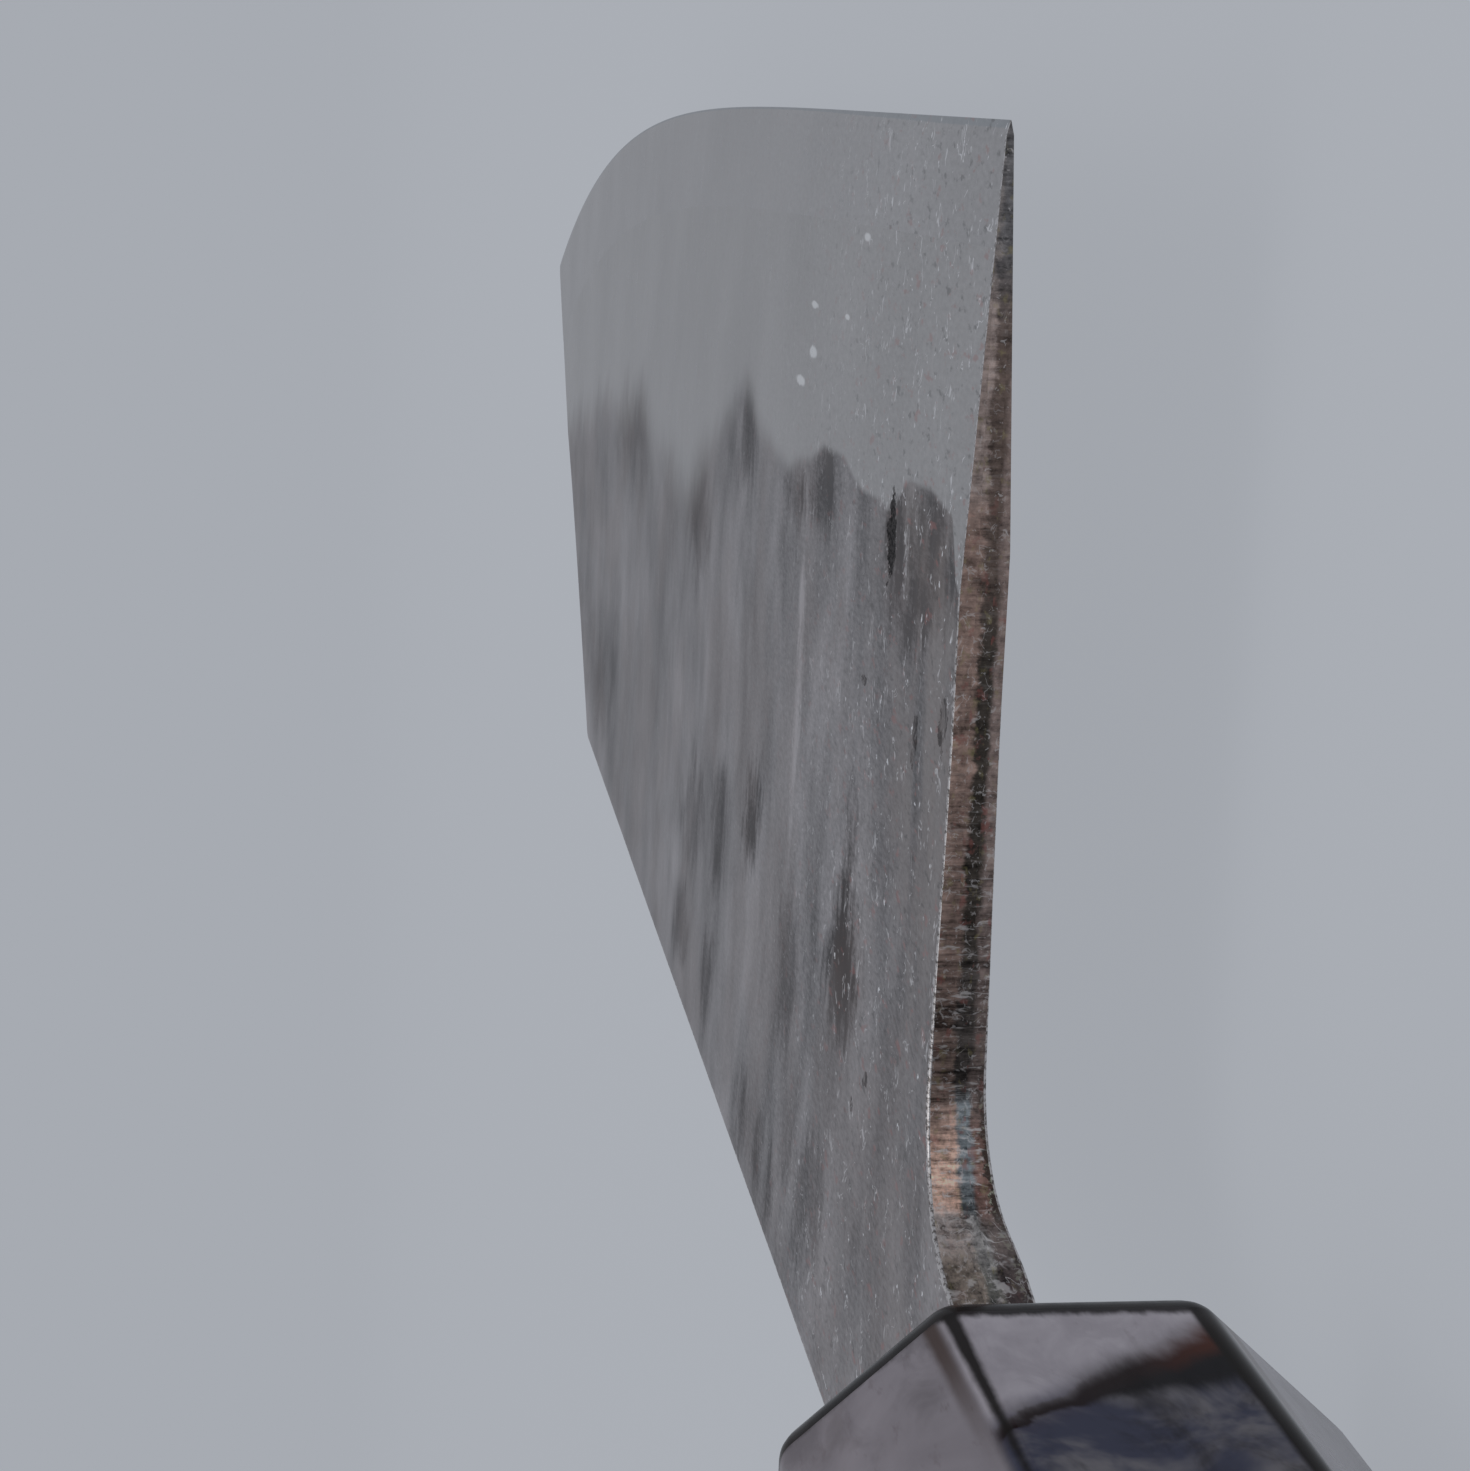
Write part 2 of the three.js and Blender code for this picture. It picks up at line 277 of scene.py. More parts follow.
# The fillet between choil and neck.
NECK_CORNER = HEEL_HEIGHT - NECK_HEEL_HEIGHT
NECK_RISE = AXIS_HEIGHT - NECK_HEIGHT / 2 - NECK_CORNER
NECK_TURN = math.pi / 2 - math.atan2(NECK_RISE, NECK_LENGTH)
FILLET_HEIGHT = NECK_CORNER - CHOIL_RADIUS * math.tan(NECK_TURN / 2)
FILLET_END = -CHOIL_RADIUS * (1 - math.cos(NECK_TURN))


def under_height(x):
    inside = np.clip(CHOIL_RADIUS**2 - (x + CHOIL_RADIUS) ** 2, 0, None)
    on_fillet = FILLET_HEIGHT + np.sqrt(inside)
    on_neck = NECK_CORNER - NECK_RISE * x / NECK_LENGTH
    on_tang = AXIS_HEIGHT - tang_reach(x)
    behind = np.where(x < -NECK_LENGTH, on_tang, on_neck)
    return np.where(x > FILLET_END, on_fillet, behind)


def border_distance(x, v):
    """How far a point of the face is from the spine, clip, choil or neck border."""
    to_clip = (clip_height(x) - v) / math.hypot(1, CLIP_SLOPE)
    to_top = np.where(x < 0, top_height(x) - v, np.minimum(spine_height(x) - v, to_clip))
    turn = np.arctan2(v - FILLET_HEIGHT, x + CHOIL_RADIUS)
    to_fillet = np.hypot(x + CHOIL_RADIUS, v - FILLET_HEIGHT) - CHOIL_RADIUS
    to_neck = (v - under_height(np.minimum(x, FILLET_END))) * math.cos(math.pi / 2 - NECK_TURN)
    to_under = np.where(turn < NECK_TURN, to_fillet, to_neck)
    to_under = np.where(v < FILLET_HEIGHT, x, to_under)
    return np.maximum(0, np.minimum(to_top, to_under))


def border_drop(x, v):
    """How far the eased border falls below the face. It is worn most near the neck."""
    short = np.clip(BORDER_EASE - border_distance(x, v), 0, BORDER_EASE)
    drop = BORDER_EASE - np.sqrt(BORDER_EASE**2 - short**2)
    return drop * sum(share * smooth_step(start, end, v) for start, end, share in BORDER_WEAR)


def bevel_height(x, line):
    """Height of the ground bevel above the edge, eased from each point of its line to the next."""
    height = line[0][1]
    for (start, low), (end, high) in zip(line, line[1:]):
        height = height + (high - low) * smooth_step(start, end, x)
    return height


BEVEL_SLOPE = (BEVEL_THICKNESS - MICRO_BEVEL_THICKNESS) / 2 / (BEVEL_HEEL_HEIGHT - MICRO_BEVEL_HEIGHT)


def thinning(x):
    return 1 - TIP_THINNING * np.maximum(0, x) / BLADE_LENGTH


def tang_half(x):
    in_handle = np.clip(-x - NECK_LENGTH, 0, None) / TANG_LENGTH
    return (NECK_THICKNESS + (TANG_END_THICKNESS - NECK_THICKNESS) * in_handle) / 2


def half_thickness(x, v, line):
    above = v - edge_height(x)
    bevel = bevel_height(x, line)
    micro_half = MICRO_BEVEL_THICKNESS / 2
    on_micro = np.clip(above / MICRO_BEVEL_HEIGHT, 0, 1) * micro_half
    on_bevel = micro_half + BEVEL_SLOPE * (above - MICRO_BEVEL_HEIGHT)
    ground = np.where(above < MICRO_BEVEL_HEIGHT, on_micro, on_bevel)
    shoulder = micro_half + BEVEL_SLOPE * (bevel - MICRO_BEVEL_HEIGHT)
    span = spine_height(x) + FACE_OVERSHOOT - edge_height(x) - bevel
    share = np.clip((above - bevel) / span, 0, None)
    forged = shoulder + (SPINE_THICKNESS / 2 - shoulder) * share**FACE_CURVE
    half = np.where(above < bevel, ground, forged) * thinning(x)
    return half + (tang_half(x) - half) * smooth_step(0, NECK_BLEND, -x)


def clad_line(x):
    """Height at which the core comes out of the cladding."""
    rise = (CORE_THICKNESS / 2 / thinning(x) - MICRO_BEVEL_THICKNESS / 2) / BEVEL_SLOPE
    return edge_height(x) + MICRO_BEVEL_HEIGHT + rise


def forged_wave(x, v):
    """Low waves left by the hammer and the polishing, long from edge to spine."""
    wave = 0
    for length, lean, phase, size in FORGED_WAVES:
        wave = wave + size * np.sin(2 * math.pi * (x + lean * v) / length + phase)
    return wave


def face_height(x, v, line, pits):
    above = v - edge_height(x) - bevel_height(x, line)
    half = half_thickness(x, v, line)
    inward = smooth_step(0, WAVE_RISE, above) * smooth_step(0, WAVE_BORDER, border_distance(x, v))
    half = half + forged_wave(x, v) * inward
    for along, up, half_along, half_up, depth in pits:
        inside = 1 - ((x - along) / half_along) ** 2 - ((v - up) / half_up) ** 2
        half = half - depth * np.clip(inside, 0, 1)
    return half


# Blade meshes. A layer is a front and a back sheet on one grid, joined by walls round the border.

EASE_OFFSETS = BORDER_EASE * np.array(EASE_SHARES)


def blade_columns(end, near_step, far_step):
    tang = np.linspace(-NECK_LENGTH - TANG_LENGTH, -NECK_LENGTH, TANG_COLUMNS)
    neck = np.linspace(-NECK_LENGTH, FILLET_END, NECK_COLUMNS)
    fillet = CHOIL_RADIUS * (np.cos(np.linspace(NECK_TURN, 0, FILLET_COLUMNS)) - 1)
    near = np.arange(2 * BORDER_EASE, NEAR_END, near_step)
    far = np.linspace(NEAR_END, end, int((end - NEAR_END) / far_step))
    return np.concatenate([tang[:-1], neck[:-1], fillet, EASE_OFFSETS[1:], near, far])


def upper_rows(low, high, count):
    """Heights from one border of a band to the other, close together where the borders are eased."""
    both_eases = 4 * BORDER_EASE
    room = np.minimum(1, (high - low) / both_eases)
    starts = [low + offset * room for offset in EASE_OFFSETS]
    ends = [high - offset * room for offset in EASE_OFFSETS[::-1]]
    inner_low = starts[-1]
    inner_high = ends[0]
    inner = [inner_low + (inner_high - inner_low) * step / count for step in range(1, count)]
    return starts + inner + ends


def layer_grid(columns, lower_bands, upper_count):
    """Row heights for each column. The lower bands end at the fillet's height and are only on the blade."""
    on_blade = np.maximum(columns, 0)
    rows = []
    top = top_height(on_blade)
    for low, high, count in lower_bands:
        rows += [low + (high - low) * step / count for step in range(count)]
    last = lower_bands[-1][1]
    neck_row = len(rows)
    low = np.where(columns < 0, under_height(columns), last)
    high = np.where(columns < 0, top_height(columns), top)
    rows += upper_rows(low, high, upper_count)
    return np.stack(rows, axis=1), neck_row


def neck_start(columns, shoulder):
    """The row that ends at the fillet: an even share of the height between the shoulder and the top."""
    on_blade = np.maximum(columns, 0)
    heel = np.argmin(np.abs(columns))
    share = (FILLET_HEIGHT - shoulder[heel]) / (HEEL_HEIGHT - shoulder[heel])
    return shoulder + (top_height(on_blade) - shoulder) * share


def mesh_object(name, verts, faces, face_materials, materials, attributes, smooth):
    """A mesh in the row frame from points in millimetres, merged, with its normals facing out."""
    mesh = bpy.data.meshes.new(name)
    mesh.from_pydata([tuple(point * MM) for point in np.asarray(verts, float)], [], faces)
    for material in materials:
        mesh.materials.append(material)
    mesh.polygons.foreach_set("material_index", face_materials)
    for label, values in attributes.items():
        layer = mesh.attributes.new(label, "FLOAT", "POINT")
        layer.data.foreach_set("value", np.asarray(values, np.float32))
    work = bmesh.new()
    work.from_mesh(mesh)
    bmesh.ops.remove_doubles(work, verts=work.verts, dist=MERGE_DISTANCE)
    bmesh.ops.dissolve_degenerate(work, edges=work.edges, dist=MERGE_DISTANCE)
    bmesh.ops.recalc_face_normals(work, faces=work.faces)
    work.to_mesh(mesh)
    work.free()
    mesh.polygons.foreach_set("use_smooth", [True] * len(mesh.polygons))
    mesh.set_sharp_from_angle(angle=smooth)
    mesh.update()
    piece = bpy.data.objects.new(name, mesh)
    bpy.context.scene.collection.objects.link(piece)
    return piece


FACE, CHOIL, SPINE = 0, 1, 2


def blade_layer(name, columns, heights, neck_row, front, back, line, materials):
    """A closed layer between two sheets. Below neck_row it only exists from the heel on."""
    heel = int(np.argmin(np.abs(columns)))
    column_count, row_count = heights.shape
    grid_x = np.repeat(columns[:, None], row_count, axis=1)
    low_part = (np.arange(row_count)[None, :] < neck_row) & (np.arange(column_count)[:, None] < heel)
    used = ~low_part
    index = np.full(heights.shape, -1)
    index[used] = np.arange(used.sum())
    flat_x = grid_x[used]
    flat_v = heights[used]
    sheets = []
    for sheet in (front, back):
        sheets.append(np.stack([flat_x + HEEL.x, flat_v + HEEL.y, sheet(flat_x, flat_v) + HEEL.z], axis=1))
    verts = np.concatenate(sheets)
    shift = len(flat_x)
    faces = []
    kinds = []
    for column in range(column_count - 1):
        first_row = neck_row if column < heel else 0
        for row in range(first_row, row_count - 1):
            a, b = index[column, row], index[column + 1, row]
            c, d = index[column + 1, row + 1], index[column, row + 1]
            faces.append((a, b, c, d))
            faces.append((d + shift, c + shift, b + shift, a + shift))
            kinds += [FACE, FACE]
    last_row = row_count - 1
    last_column = column_count - 1
    borders = []
    borders += [((c, 0), (c + 1, 0), CHOIL) for c in range(heel, last_column)]
    borders += [((heel, r), (heel, r + 1), CHOIL) for r in range(neck_row)]
    borders += [((c, neck_row), (c + 1, neck_row), CHOIL) for c in range(heel)]
    borders += [((0, r), (0, r + 1), CHOIL) for r in range(neck_row, last_row)]
    borders += [((c, last_row), (c + 1, last_row), SPINE) for c in range(last_column)]
    borders += [((last_column, r), (last_column, r + 1), SPINE) for r in range(last_row)]
    for start, end, kind in borders:
        a, b = index[start], index[end]
        faces.append((a, b, b + shift, a + shift))
        kinds.append(kind)
    above_edge = flat_v - edge_height(flat_x)
    values = {
        "above_edge": above_edge,
        "above_bevel": above_edge - bevel_height(np.maximum(flat_x, 0), line),
        "from_border": border_distance(flat_x, flat_v),
    }
    values = {label: np.concatenate([value, value]) for label, value in values.items()}
    values["across"] = np.concatenate([np.ones(shift), np.zeros(shift)])
    return mesh_object(name, verts, faces, kinds, materials, values, BLADE_SMOOTH)


def cladding(name, side, line, pits, materials, near_step, far_step):
    """One outer layer. side is 1 for the front and -1 for the back."""
    stations = np.linspace(0, BLADE_LENGTH, END_SEARCH)
    room = top_height(stations) - clad_line(stations)
    end = stations[np.argmax(room < END_ROOM)]
    columns = blade_columns(end, near_step, far_step)
    on_blade = np.maximum(columns, 0)
    top = top_height(on_blade)
    low = clad_line(on_blade)
    shoulder = edge_height(on_blade) + bevel_height(on_blade, line)
    shoulder = np.minimum(shoulder, low + (top - low) * SHOULDER_LIMIT)
    neck = neck_start(columns, shoulder)
    bevel_rows, face_rows, upper_count = CLADDING_ROWS
    bands = [(low, shoulder, bevel_rows), (shoulder, neck, face_rows)]
    heights, neck_row = layer_grid(columns, bands, upper_count)
    core_half = CORE_THICKNESS / 2

    def outer(x, v):
        height = face_height(x, v, line, pits) - border_drop(x, v)
        least = LEAST_CLADDING * smooth_step(0, LEAST_RISE, v - clad_line(x))
        return side * np.maximum(core_half + least, height)

    def inner(x, v):
        return np.full_like(x, side * core_half)

    return blade_layer(name, columns, heights, neck_row, outer, inner, line, materials)


def core(name, materials):
    """The middle layer, which makes the cutting edge."""
    columns = blade_columns(BLADE_LENGTH - POINT_MARGIN, *CORE_STEPS)
    on_blade = np.maximum(columns, 0)
    top = top_height(on_blade)
    edge = edge_height(on_blade)
    room = top - edge
    micro = edge + np.minimum(MICRO_BEVEL_HEIGHT, MICRO_LIMIT * room)
    clad = np.minimum(clad_line(on_blade), edge + CLAD_LIMIT * room)
    neck = neck_start(columns, clad)
    micro_rows, bevel_rows, face_rows, upper_count = CORE_ROWS
    bands = [(edge, micro, micro_rows), (micro, clad, bevel_rows), (clad, neck, face_rows)]
    heights, neck_row = layer_grid(columns, bands, upper_count)
    core_half = CORE_THICKNESS / 2

    def front(x, v):
        return np.minimum(core_half, half_thickness(x, v, FRONT_BEVEL))

    def back(x, v):
        return -np.minimum(core_half, half_thickness(x, v, BACK_BEVEL))

    return blade_layer(name, columns, heights, neck_row, front, back, FRONT_BEVEL, materials)


# Handle shapes. Rings turn round the handle's axis, and all rings of a piece have the same count.

MOUTH_SECTION = np.array([MOUTH_WIDTH, MOUTH_HEIGHT, MOUTH_SLANT_WIDTH, MOUTH_SLANT_HEIGHT])
BUTT_SECTION = np.array([BUTT_WIDTH, BUTT_HEIGHT, BUTT_SLANT_WIDTH, BUTT_SLANT_HEIGHT])
HALF_RIDGE_TURN = math.pi / 8


def octagon_ring(x, inset):
    """Section of the handle at x, with eased ridges. An inset draws it in and eases the ridges more."""
    along = (MOUTH_X - x) / HANDLE_LENGTH
    width, height, full_width, full_height = MOUTH_SECTION + (BUTT_SECTION - MOUTH_SECTION) * along
    half_width = width / 2 - inset
    half_height = height / 2 - inset
    shrink = inset * (full_height + full_width - math.hypot(full_height, full_width))
    slant_height = full_height - shrink / full_width
    slant_width = full_width - shrink / full_height
    corners = []
    for side_y, side_z in [(1, 1), (-1, 1), (-1, -1), (1, -1)]:
        on_flat = np.array([side_y * (half_height - slant_height), side_z * half_width])
        on_edge = np.array([side_y * half_height, side_z * (half_width - slant_width)])
        corners += [on_edge, on_flat] if side_y * side_z > 0 else [on_flat, on_edge]
    reach = (RIDGE_EASE + inset) * math.tan(HALF_RIDGE_TURN)
    points = []
    for number, corner in enumerate(corners):
        before = corners[number - 1]
        after = corners[(number + 1) % len(corners)]
        start = corner + (before - corner) * reach / np.linalg.norm(before - corner)
        end = corner + (after - corner) * reach / np.linalg.norm(after - corner)
        next_reach = (corner - after) * reach / np.linalg.norm(after - corner)
        for step in range(EASE_STEPS):
            t = step / EASE_STEPS
            points.append((1 - t) ** 2 * start + 2 * t * (1 - t) * corner + t**2 * end)
        facet_end = after + next_reach
        for step in range(FACET_STEPS):
            points.append(end + (facet_end - end) * step / FACET_STEPS)
    points = np.array(points)
    return np.column_stack([np.full(len(points), x), points[:, 0] + AXIS_Y, points[:, 1] + AXIS_Z])


def ring_angles(x):
    ring = octagon_ring(x, 0)
    return np.arctan2(ring[:, 2] - AXIS_Z, ring[:, 1] - AXIS_Y)


def round_ring(x, radius, angles):
    return np.column_stack(
        [np.full(len(angles), x), AXIS_Y + radius * np.cos(angles), AXIS_Z + radius * np.sin(angles)]
    )


def slot_ring(x, half_height, half_width, angles):
    """A slot with tightly rounded corners, met by rays at the given angles."""
    upright = np.abs(np.cos(angles) / half_height) ** SLOT_POWER
    level = np.abs(np.sin(angles) / half_width) ** SLOT_POWER
    return round_ring(x, (upright + level) ** (-1 / SLOT_POWER), angles)


def rounded_end(end_x, inward, ease):
    turns = np.linspace(0, math.pi / 2, RIM_STEPS + 1)
    return [octagon_ring(end_x + inward * ease * (1 - math.cos(t)), ease * (1 - math.sin(t))) for t in turns]


def loft_piece(name, rings, closed, materials, second=()):
    """Joins rings in order. A closed loft joins the last ring to the first, an open one is capped.

    second lists the rings after which the second material is used.
    """
    count = len(rings[0])
    verts = np.concatenate(rings)
    faces = []
    pairs = [(number, number + 1) for number in range(len(rings) - 1)]
    if closed:
        pairs.append((len(rings) - 1, 0))
    kinds = []
    for low, high in pairs:
        for side in range(count):
            after = (side + 1) % count
            faces.append((low * count + side, low * count + after, high * count + after, high * count + side))
            kinds.append(1 if low in second else 0)
    if not closed:
        for number in (0, len(rings) - 1):
            middle = len(verts)
            verts = np.vstack([verts, rings[number].mean(axis=0)])
            faces += [(number * count + s, number * count + (s + 1) % count, middle) for s in range(count)]
    kinds += [0] * (len(faces) - len(kinds))
    return mesh_object(name, verts, faces, kinds, materials, {}, HANDLE_SMOOTH)


# Materials. Places and lengths in them are millimetres too, and colours are linear.

# Sockets of the node that mixes two colours.
MIX_FIRST = 6
MIX_SECOND = 7
MIX_RESULT = 2

# The value that noise varies about.
NOISE_MIDDLE = 0.5


def plug(tree, value, socket):
    """Links a socket to an output, or sets it to a value."""
    if isinstance(value, bpy.types.NodeSocket):
        tree.links.new(value, socket)
    else:
        socket.default_value = value


def add_node(tree, kind, inputs, **settings):
    """Adds a shader node with its settings, and plugs its inputs."""
    node = tree.nodes.new("ShaderNode" + kind)
    for label, value in settings.items():
        setattr(node, label, value)
    for label, value in inputs.items():
        plug(tree, value, node.inputs[label])
    return node


class Surface:
    """A procedural material: short calls that add a node and hand back its output."""

    def __init__(self, name):
        self.material = bpy.data.materials.new(name)
        self.material.use_nodes = True
        self.tree = self.material.node_tree
        self.shader = self.tree.nodes["Principled BSDF"]
        self.place = add_node(self.tree, "TexCoord", {}).outputs["Object"]
        self.colour = None

    def math(self, operation, first, second=0.0, clamp=False):
        inputs = {0: first, 1: second}
        node = add_node(self.tree, "Math", inputs, operation=operation, use_clamp=clamp)
        return node.outputs[0]

    def total(self, first, *others):
        for value in others:
            first = self.math("ADD", first, value)
        return first

    def times(self, first, *others):
        for value in others:
            first = self.math("MULTIPLY", first, value)
        return first

    def minus(self, first, second):
        return self.math("SUBTRACT", first, second)

    def away(self, value, centre=NOISE_MIDDLE):
        """How far a value is from a centre, to either side."""
        return self.math("ABSOLUTE", self.minus(value, centre))

    def centred(self, noise, *shares):
        """Noise moved to vary about zero, times its shares."""
        return self.times(self.minus(noise, NOISE_MIDDLE), *shares)

    def attribute(self, label):
        return add_node(self.tree, "Attribute", {}, attribute_name=label).outputs["Fac"]

    def distance(self, axis, origin):
        """The way along an axis from an origin, in millimetres."""
        place = add_node(self.tree, "SeparateXYZ", {0: self.place}).outputs[axis]
        return self.math("DIVIDE", self.minus(place, origin * MM), MM)

    def mapped(self, scale, shift):
        """The place on the knife, stretched and then moved."""
        inputs = {"Vector": self.place, "Scale": scale, "Location": shift}
        return add_node(self.tree, "Mapping", inputs).outputs["Vector"]

    def noise(self, waves, detail, roughness, column, row=0, distortion=0.0):
        """Noise with so many waves a millimetre along X, Y and Z. Column and row pick the pattern."""
        inputs = {
            "Vector": self.mapped([value / MM for value in waves], (column, row, 0)),
            "Scale": 1,
            "Detail": detail,
            "Roughness": roughness,
            "Distortion": distortion,
        }
        return add_node(self.tree, "TexNoise", inputs).outputs["Fac"]

    def spread(self, value, low, high, at_low=0.0, at_high=1.0, kind="LINEAR"):
        """An even change from at_low to at_high as value goes from low to high."""
        inputs = {"Value": value, "From Min": low, "From Max": high, "To Min": at_low, "To Max": at_high}
        return add_node(self.tree, "MapRange", inputs, interpolation_type=kind).outputs["Result"]

    def fade(self, *limits):
        """The same change, smooth at both ends."""
        return self.spread(*limits, kind="SMOOTHSTEP")

    def mix(self, share, first, second):
        """Two colours, with a share of the second."""
        inputs = {"Factor": share}
        for socket, colour in ((MIX_FIRST, first), (MIX_SECOND, second)):
            inputs[socket] = colour if isinstance(colour, bpy.types.NodeSocket) else (*colour, 1)
        return add_node(self.tree, "Mix", inputs, data_type="RGBA").outputs[MIX_RESULT]

    def paint(self, tint, *shares):
        """Lays a colour over what is there, as far as all the shares let it."""
        self.colour = self.mix(self.times(*shares), self.colour, tint)

    def shade(self, colour, share):
        """A colour times a share, so that it keeps its hue."""
        inputs = {0: colour, "Scale": share}
        return add_node(self.tree, "VectorMath", inputs, operation="SCALE").outputs["Vector"]

    def spot(self, oval, uneven, inner, outer):
        """1 inside an oval on the blade, fading to 0 outside it. The uneven value makes its border ragged.

        An oval is its place along and up the blade, and half its size along and up it.
        """
        along, up, half_along, half_up = oval
        scale = (1 / (half_along * MM), 1 / (half_up * MM), 0)
        shift = (-(along + HEEL.x) / half_along, -(up + HEEL.y) / half_up, 0)
        inputs = {0: self.mapped(scale, shift)}
        away = add_node(self.tree, "VectorMath", inputs, operation="LENGTH").outputs["Value"]
        return self.fade(self.total(away, uneven), inner, outer, 1.0, 0.0)

    def finish(self, roughness, relief, depth, strength, **values):
        """Sets up the shader, with a relief of the given depth, and hands back the material."""
        inputs = {"Height": relief, "Distance": depth * MM, "Strength": strength}
        normal = add_node(self.tree, "Bump", inputs).outputs["Normal"]
        values.update(Base_Color=self.colour, Roughness=roughness, Normal=normal)
        for label, value in values.items():
            plug(self.tree, value, self.shader.inputs[label.replace("_", " ")])
        return self.material


# Colours of the blade's faces, dark and light.
BEVEL_TONES = ((0.31, 0.293, 0.284), (0.52, 0.497, 0.486))
CORE_TONES = ((0.32, 0.303, 0.297), (0.54, 0.517, 0.511))
FORGED_TONES = ((0.05, 0.042, 0.042), (0.53, 0.495, 0.50))
CHIPPED_TONES = ((0.15, 0.13, 0.12), (0.64, 0.61, 0.60))
WARM_STAIN = (0.28, 0.215, 0.195)
BROWN_STAIN = (0.262, 0.214, 0.190)
HONED_STEEL = (0.285, 0.318, 0.340)
LINT = (0.86, 0.84, 0.84)
PAINTED_GLINT = (0.92, 0.91, 0.90)
PIT_BLACK = (0.042, 0.038, 0.038)

# Flecks near the choil: waves a millimetre, the noise's limits, share and colour.
FLECKS = [
    ((0.7, 1.6, 0), (0.59, 0.69), 0.5, (0.40, 0.16, 0.14)),
    ((0.9, 2.0, 0), (0.58, 0.70), 0.62, (0.07, 0.062, 0.058)),
    ((1.6, 1.5, 0), (0.67, 0.71), 1.0, (0.92, 0.91, 0.91)),
]


def blade_face(name, bevel_tones, seed, pits=(), stains=(), gleams=(), glints=()):
    """Satin ground bevel below a ragged line, and a darker, cloudy forged face above it."""
    s = Surface(name)
    along = s.distance("X", HEEL.x)
    above = s.attribute("above_bevel")
    near = s.fade(along, 12, 70, 1.0, 0.2)
    close = s.fade(along, 4, 42, 1.0, 0.1)
    far = s.fade(along, 45, 95)
    cloud = s.noise((0.09, 0.08, 0), 3, 0.55, seed)
    blotch = s.noise((0.20, 0.11, 0), 4, 0.55, seed + 7, 0, 0.4)
    fine = s.noise((1.4, 0.5, 0), 3, 0.6, seed + 13)
    grain = s.noise((1.8, 4.5, 0), 3, 0.7, seed + 17)
    broad = s.noise((0.035, 0.10, 0), 3, 0.5, seed + 50)
    warmth = s.noise((0.11, 0.10, 0), 2, 0.5, seed + 40, 3)
    chips = s.noise((4.0, 7.0, 7.0), 3, 0.65, seed + 2, 1)

    # The line between the two is crisp near the heel, and ragged and soft further on.
    ragged = s.fade(along, 20, 75, 0.6, 6.0)
    softness = s.fade(along, 20, 75, 0.16, 2.6)
    line = s.total(above, s.centred(blotch, ragged), s.centred(grain, 0.5))
    ground = s.fade(s.math("DIVIDE", line, softness), -1, 1, 1.0, 0.0)

    # Tones of the forged face.
    tone = s.total(
        s.fade(above, 0, 9, 0.37, 0.45),
        s.centred(cloud, 0.8),
        s.centred(blotch, 1.25, s.spread(far, 0, 1, 1.0, 0.35)),
        s.centred(broad, 0.9, far),
        s.centred(fine, 0.45, near),
        s.centred(grain, 1.0, near),
    )
    uneven = s.total(s.centred(fine, 1.3), s.centred(blotch, 1.6))
    # The gleams are painted highlights, added to the tone.
    for *oval, share in gleams:
        tone = s.total(tone, s.times(s.spot(oval, uneven, 0.1, 1.0), share))
    stained = 0.0
    for *oval, share in stains:
        stained = s.total(stained, s.times(s.spot(oval, uneven, 0.2, 1.1), share))
    s.colour = s.mix(s.math("SUBTRACT", tone, stained, clamp=True), *FORGED_TONES)
    s.paint(WARM_STAIN, s.fade(warmth, 0.42, 0.62, 0.0, 0.2))
    brown = s.times(s.fade(blotch, 0.36, 0.6), s.fade(along, 3, 20, 0.5, 0.0))
    s.paint(BROWN_STAIN, brown, s.fade(above, 10, 22, 1.0, 0.3))

    # Satin of the bevel, with the honed line along the edge.
    satin = s.total(0.5, s.centred(fine, 0.5), s.centred(grain, 1.3, near))
    satin = s.math("ADD", satin, s.centred(cloud, 0.7), clamp=True)
    s.paint(s.mix(satin, *bevel_tones), ground)
    wear = s.fade(along, 4, 45, 0.62, 0.25)
    honed = s.total(s.math("DIVIDE", s.attribute("above_edge"), wear), s.centred(grain, 0.2))
    honed = s.fade(honed, 0.75 * MICRO_BEVEL_HEIGHT, MICRO_BEVEL_HEIGHT, 0.6, 0.0)
    s.paint(HONED_STEEL, honed)

    # Flecks and lint, and glints that are painted highlights.
    for number, (waves, limits, share, tint) in enumerate(FLECKS):
        fleck = s.noise(waves, 3, 0.6, seed + 31 + 20 * number, 4)
        s.paint(tint, s.fade(fleck, *limits, 0.0, share), close)
    curl = s.away(s.noise((1.0, 0.9, 0), 2, 0.5, seed + 91, 4, 1.2))
    sparse = s.noise((0.9, 0.8, 0), 2, 0.5, seed + 97, 4)
    lint = s.times(s.fade(curl, 0.010, 0.028, 0.8, 0.0), s.fade(sparse, 0.565, 0.605))
    s.paint(LINT, lint, s.spread(ground, 0, 1, 0.75, 1.0), close)
    for oval in glints:
        glint = s.spot(oval, s.centred(fine, 1.0), 0.6, 1.2)
        s.paint(PAINTED_GLINT, glint, 0.9)

    # Pits, torn at their borders. The shallow ones are broken up.
    torn = s.centred(s.noise((0.9, 1.1, 0), 4, 0.7, seed + 3, 8), 2.4)
    broken = s.noise((1.6, 1.0, 0), 3, 0.6, seed + 6, 9, 1.0)
    broken = s.fade(broken, 0.44, 0.54, 0.25, 0.75)
    black = s.shade(PIT_BLACK, s.fade(chips, 0.4, 0.6, 0.3, 1.6))
    pitted = 0.0
    for *oval, depth in pits:
        pit = s.spot(oval, torn, 0.75, 0.9)
        if depth < SHALLOW_PIT:
            pit = s.times(pit, broken)
        s.paint(black, pit)
        pitted = s.math("MAXIMUM", pitted, pit)

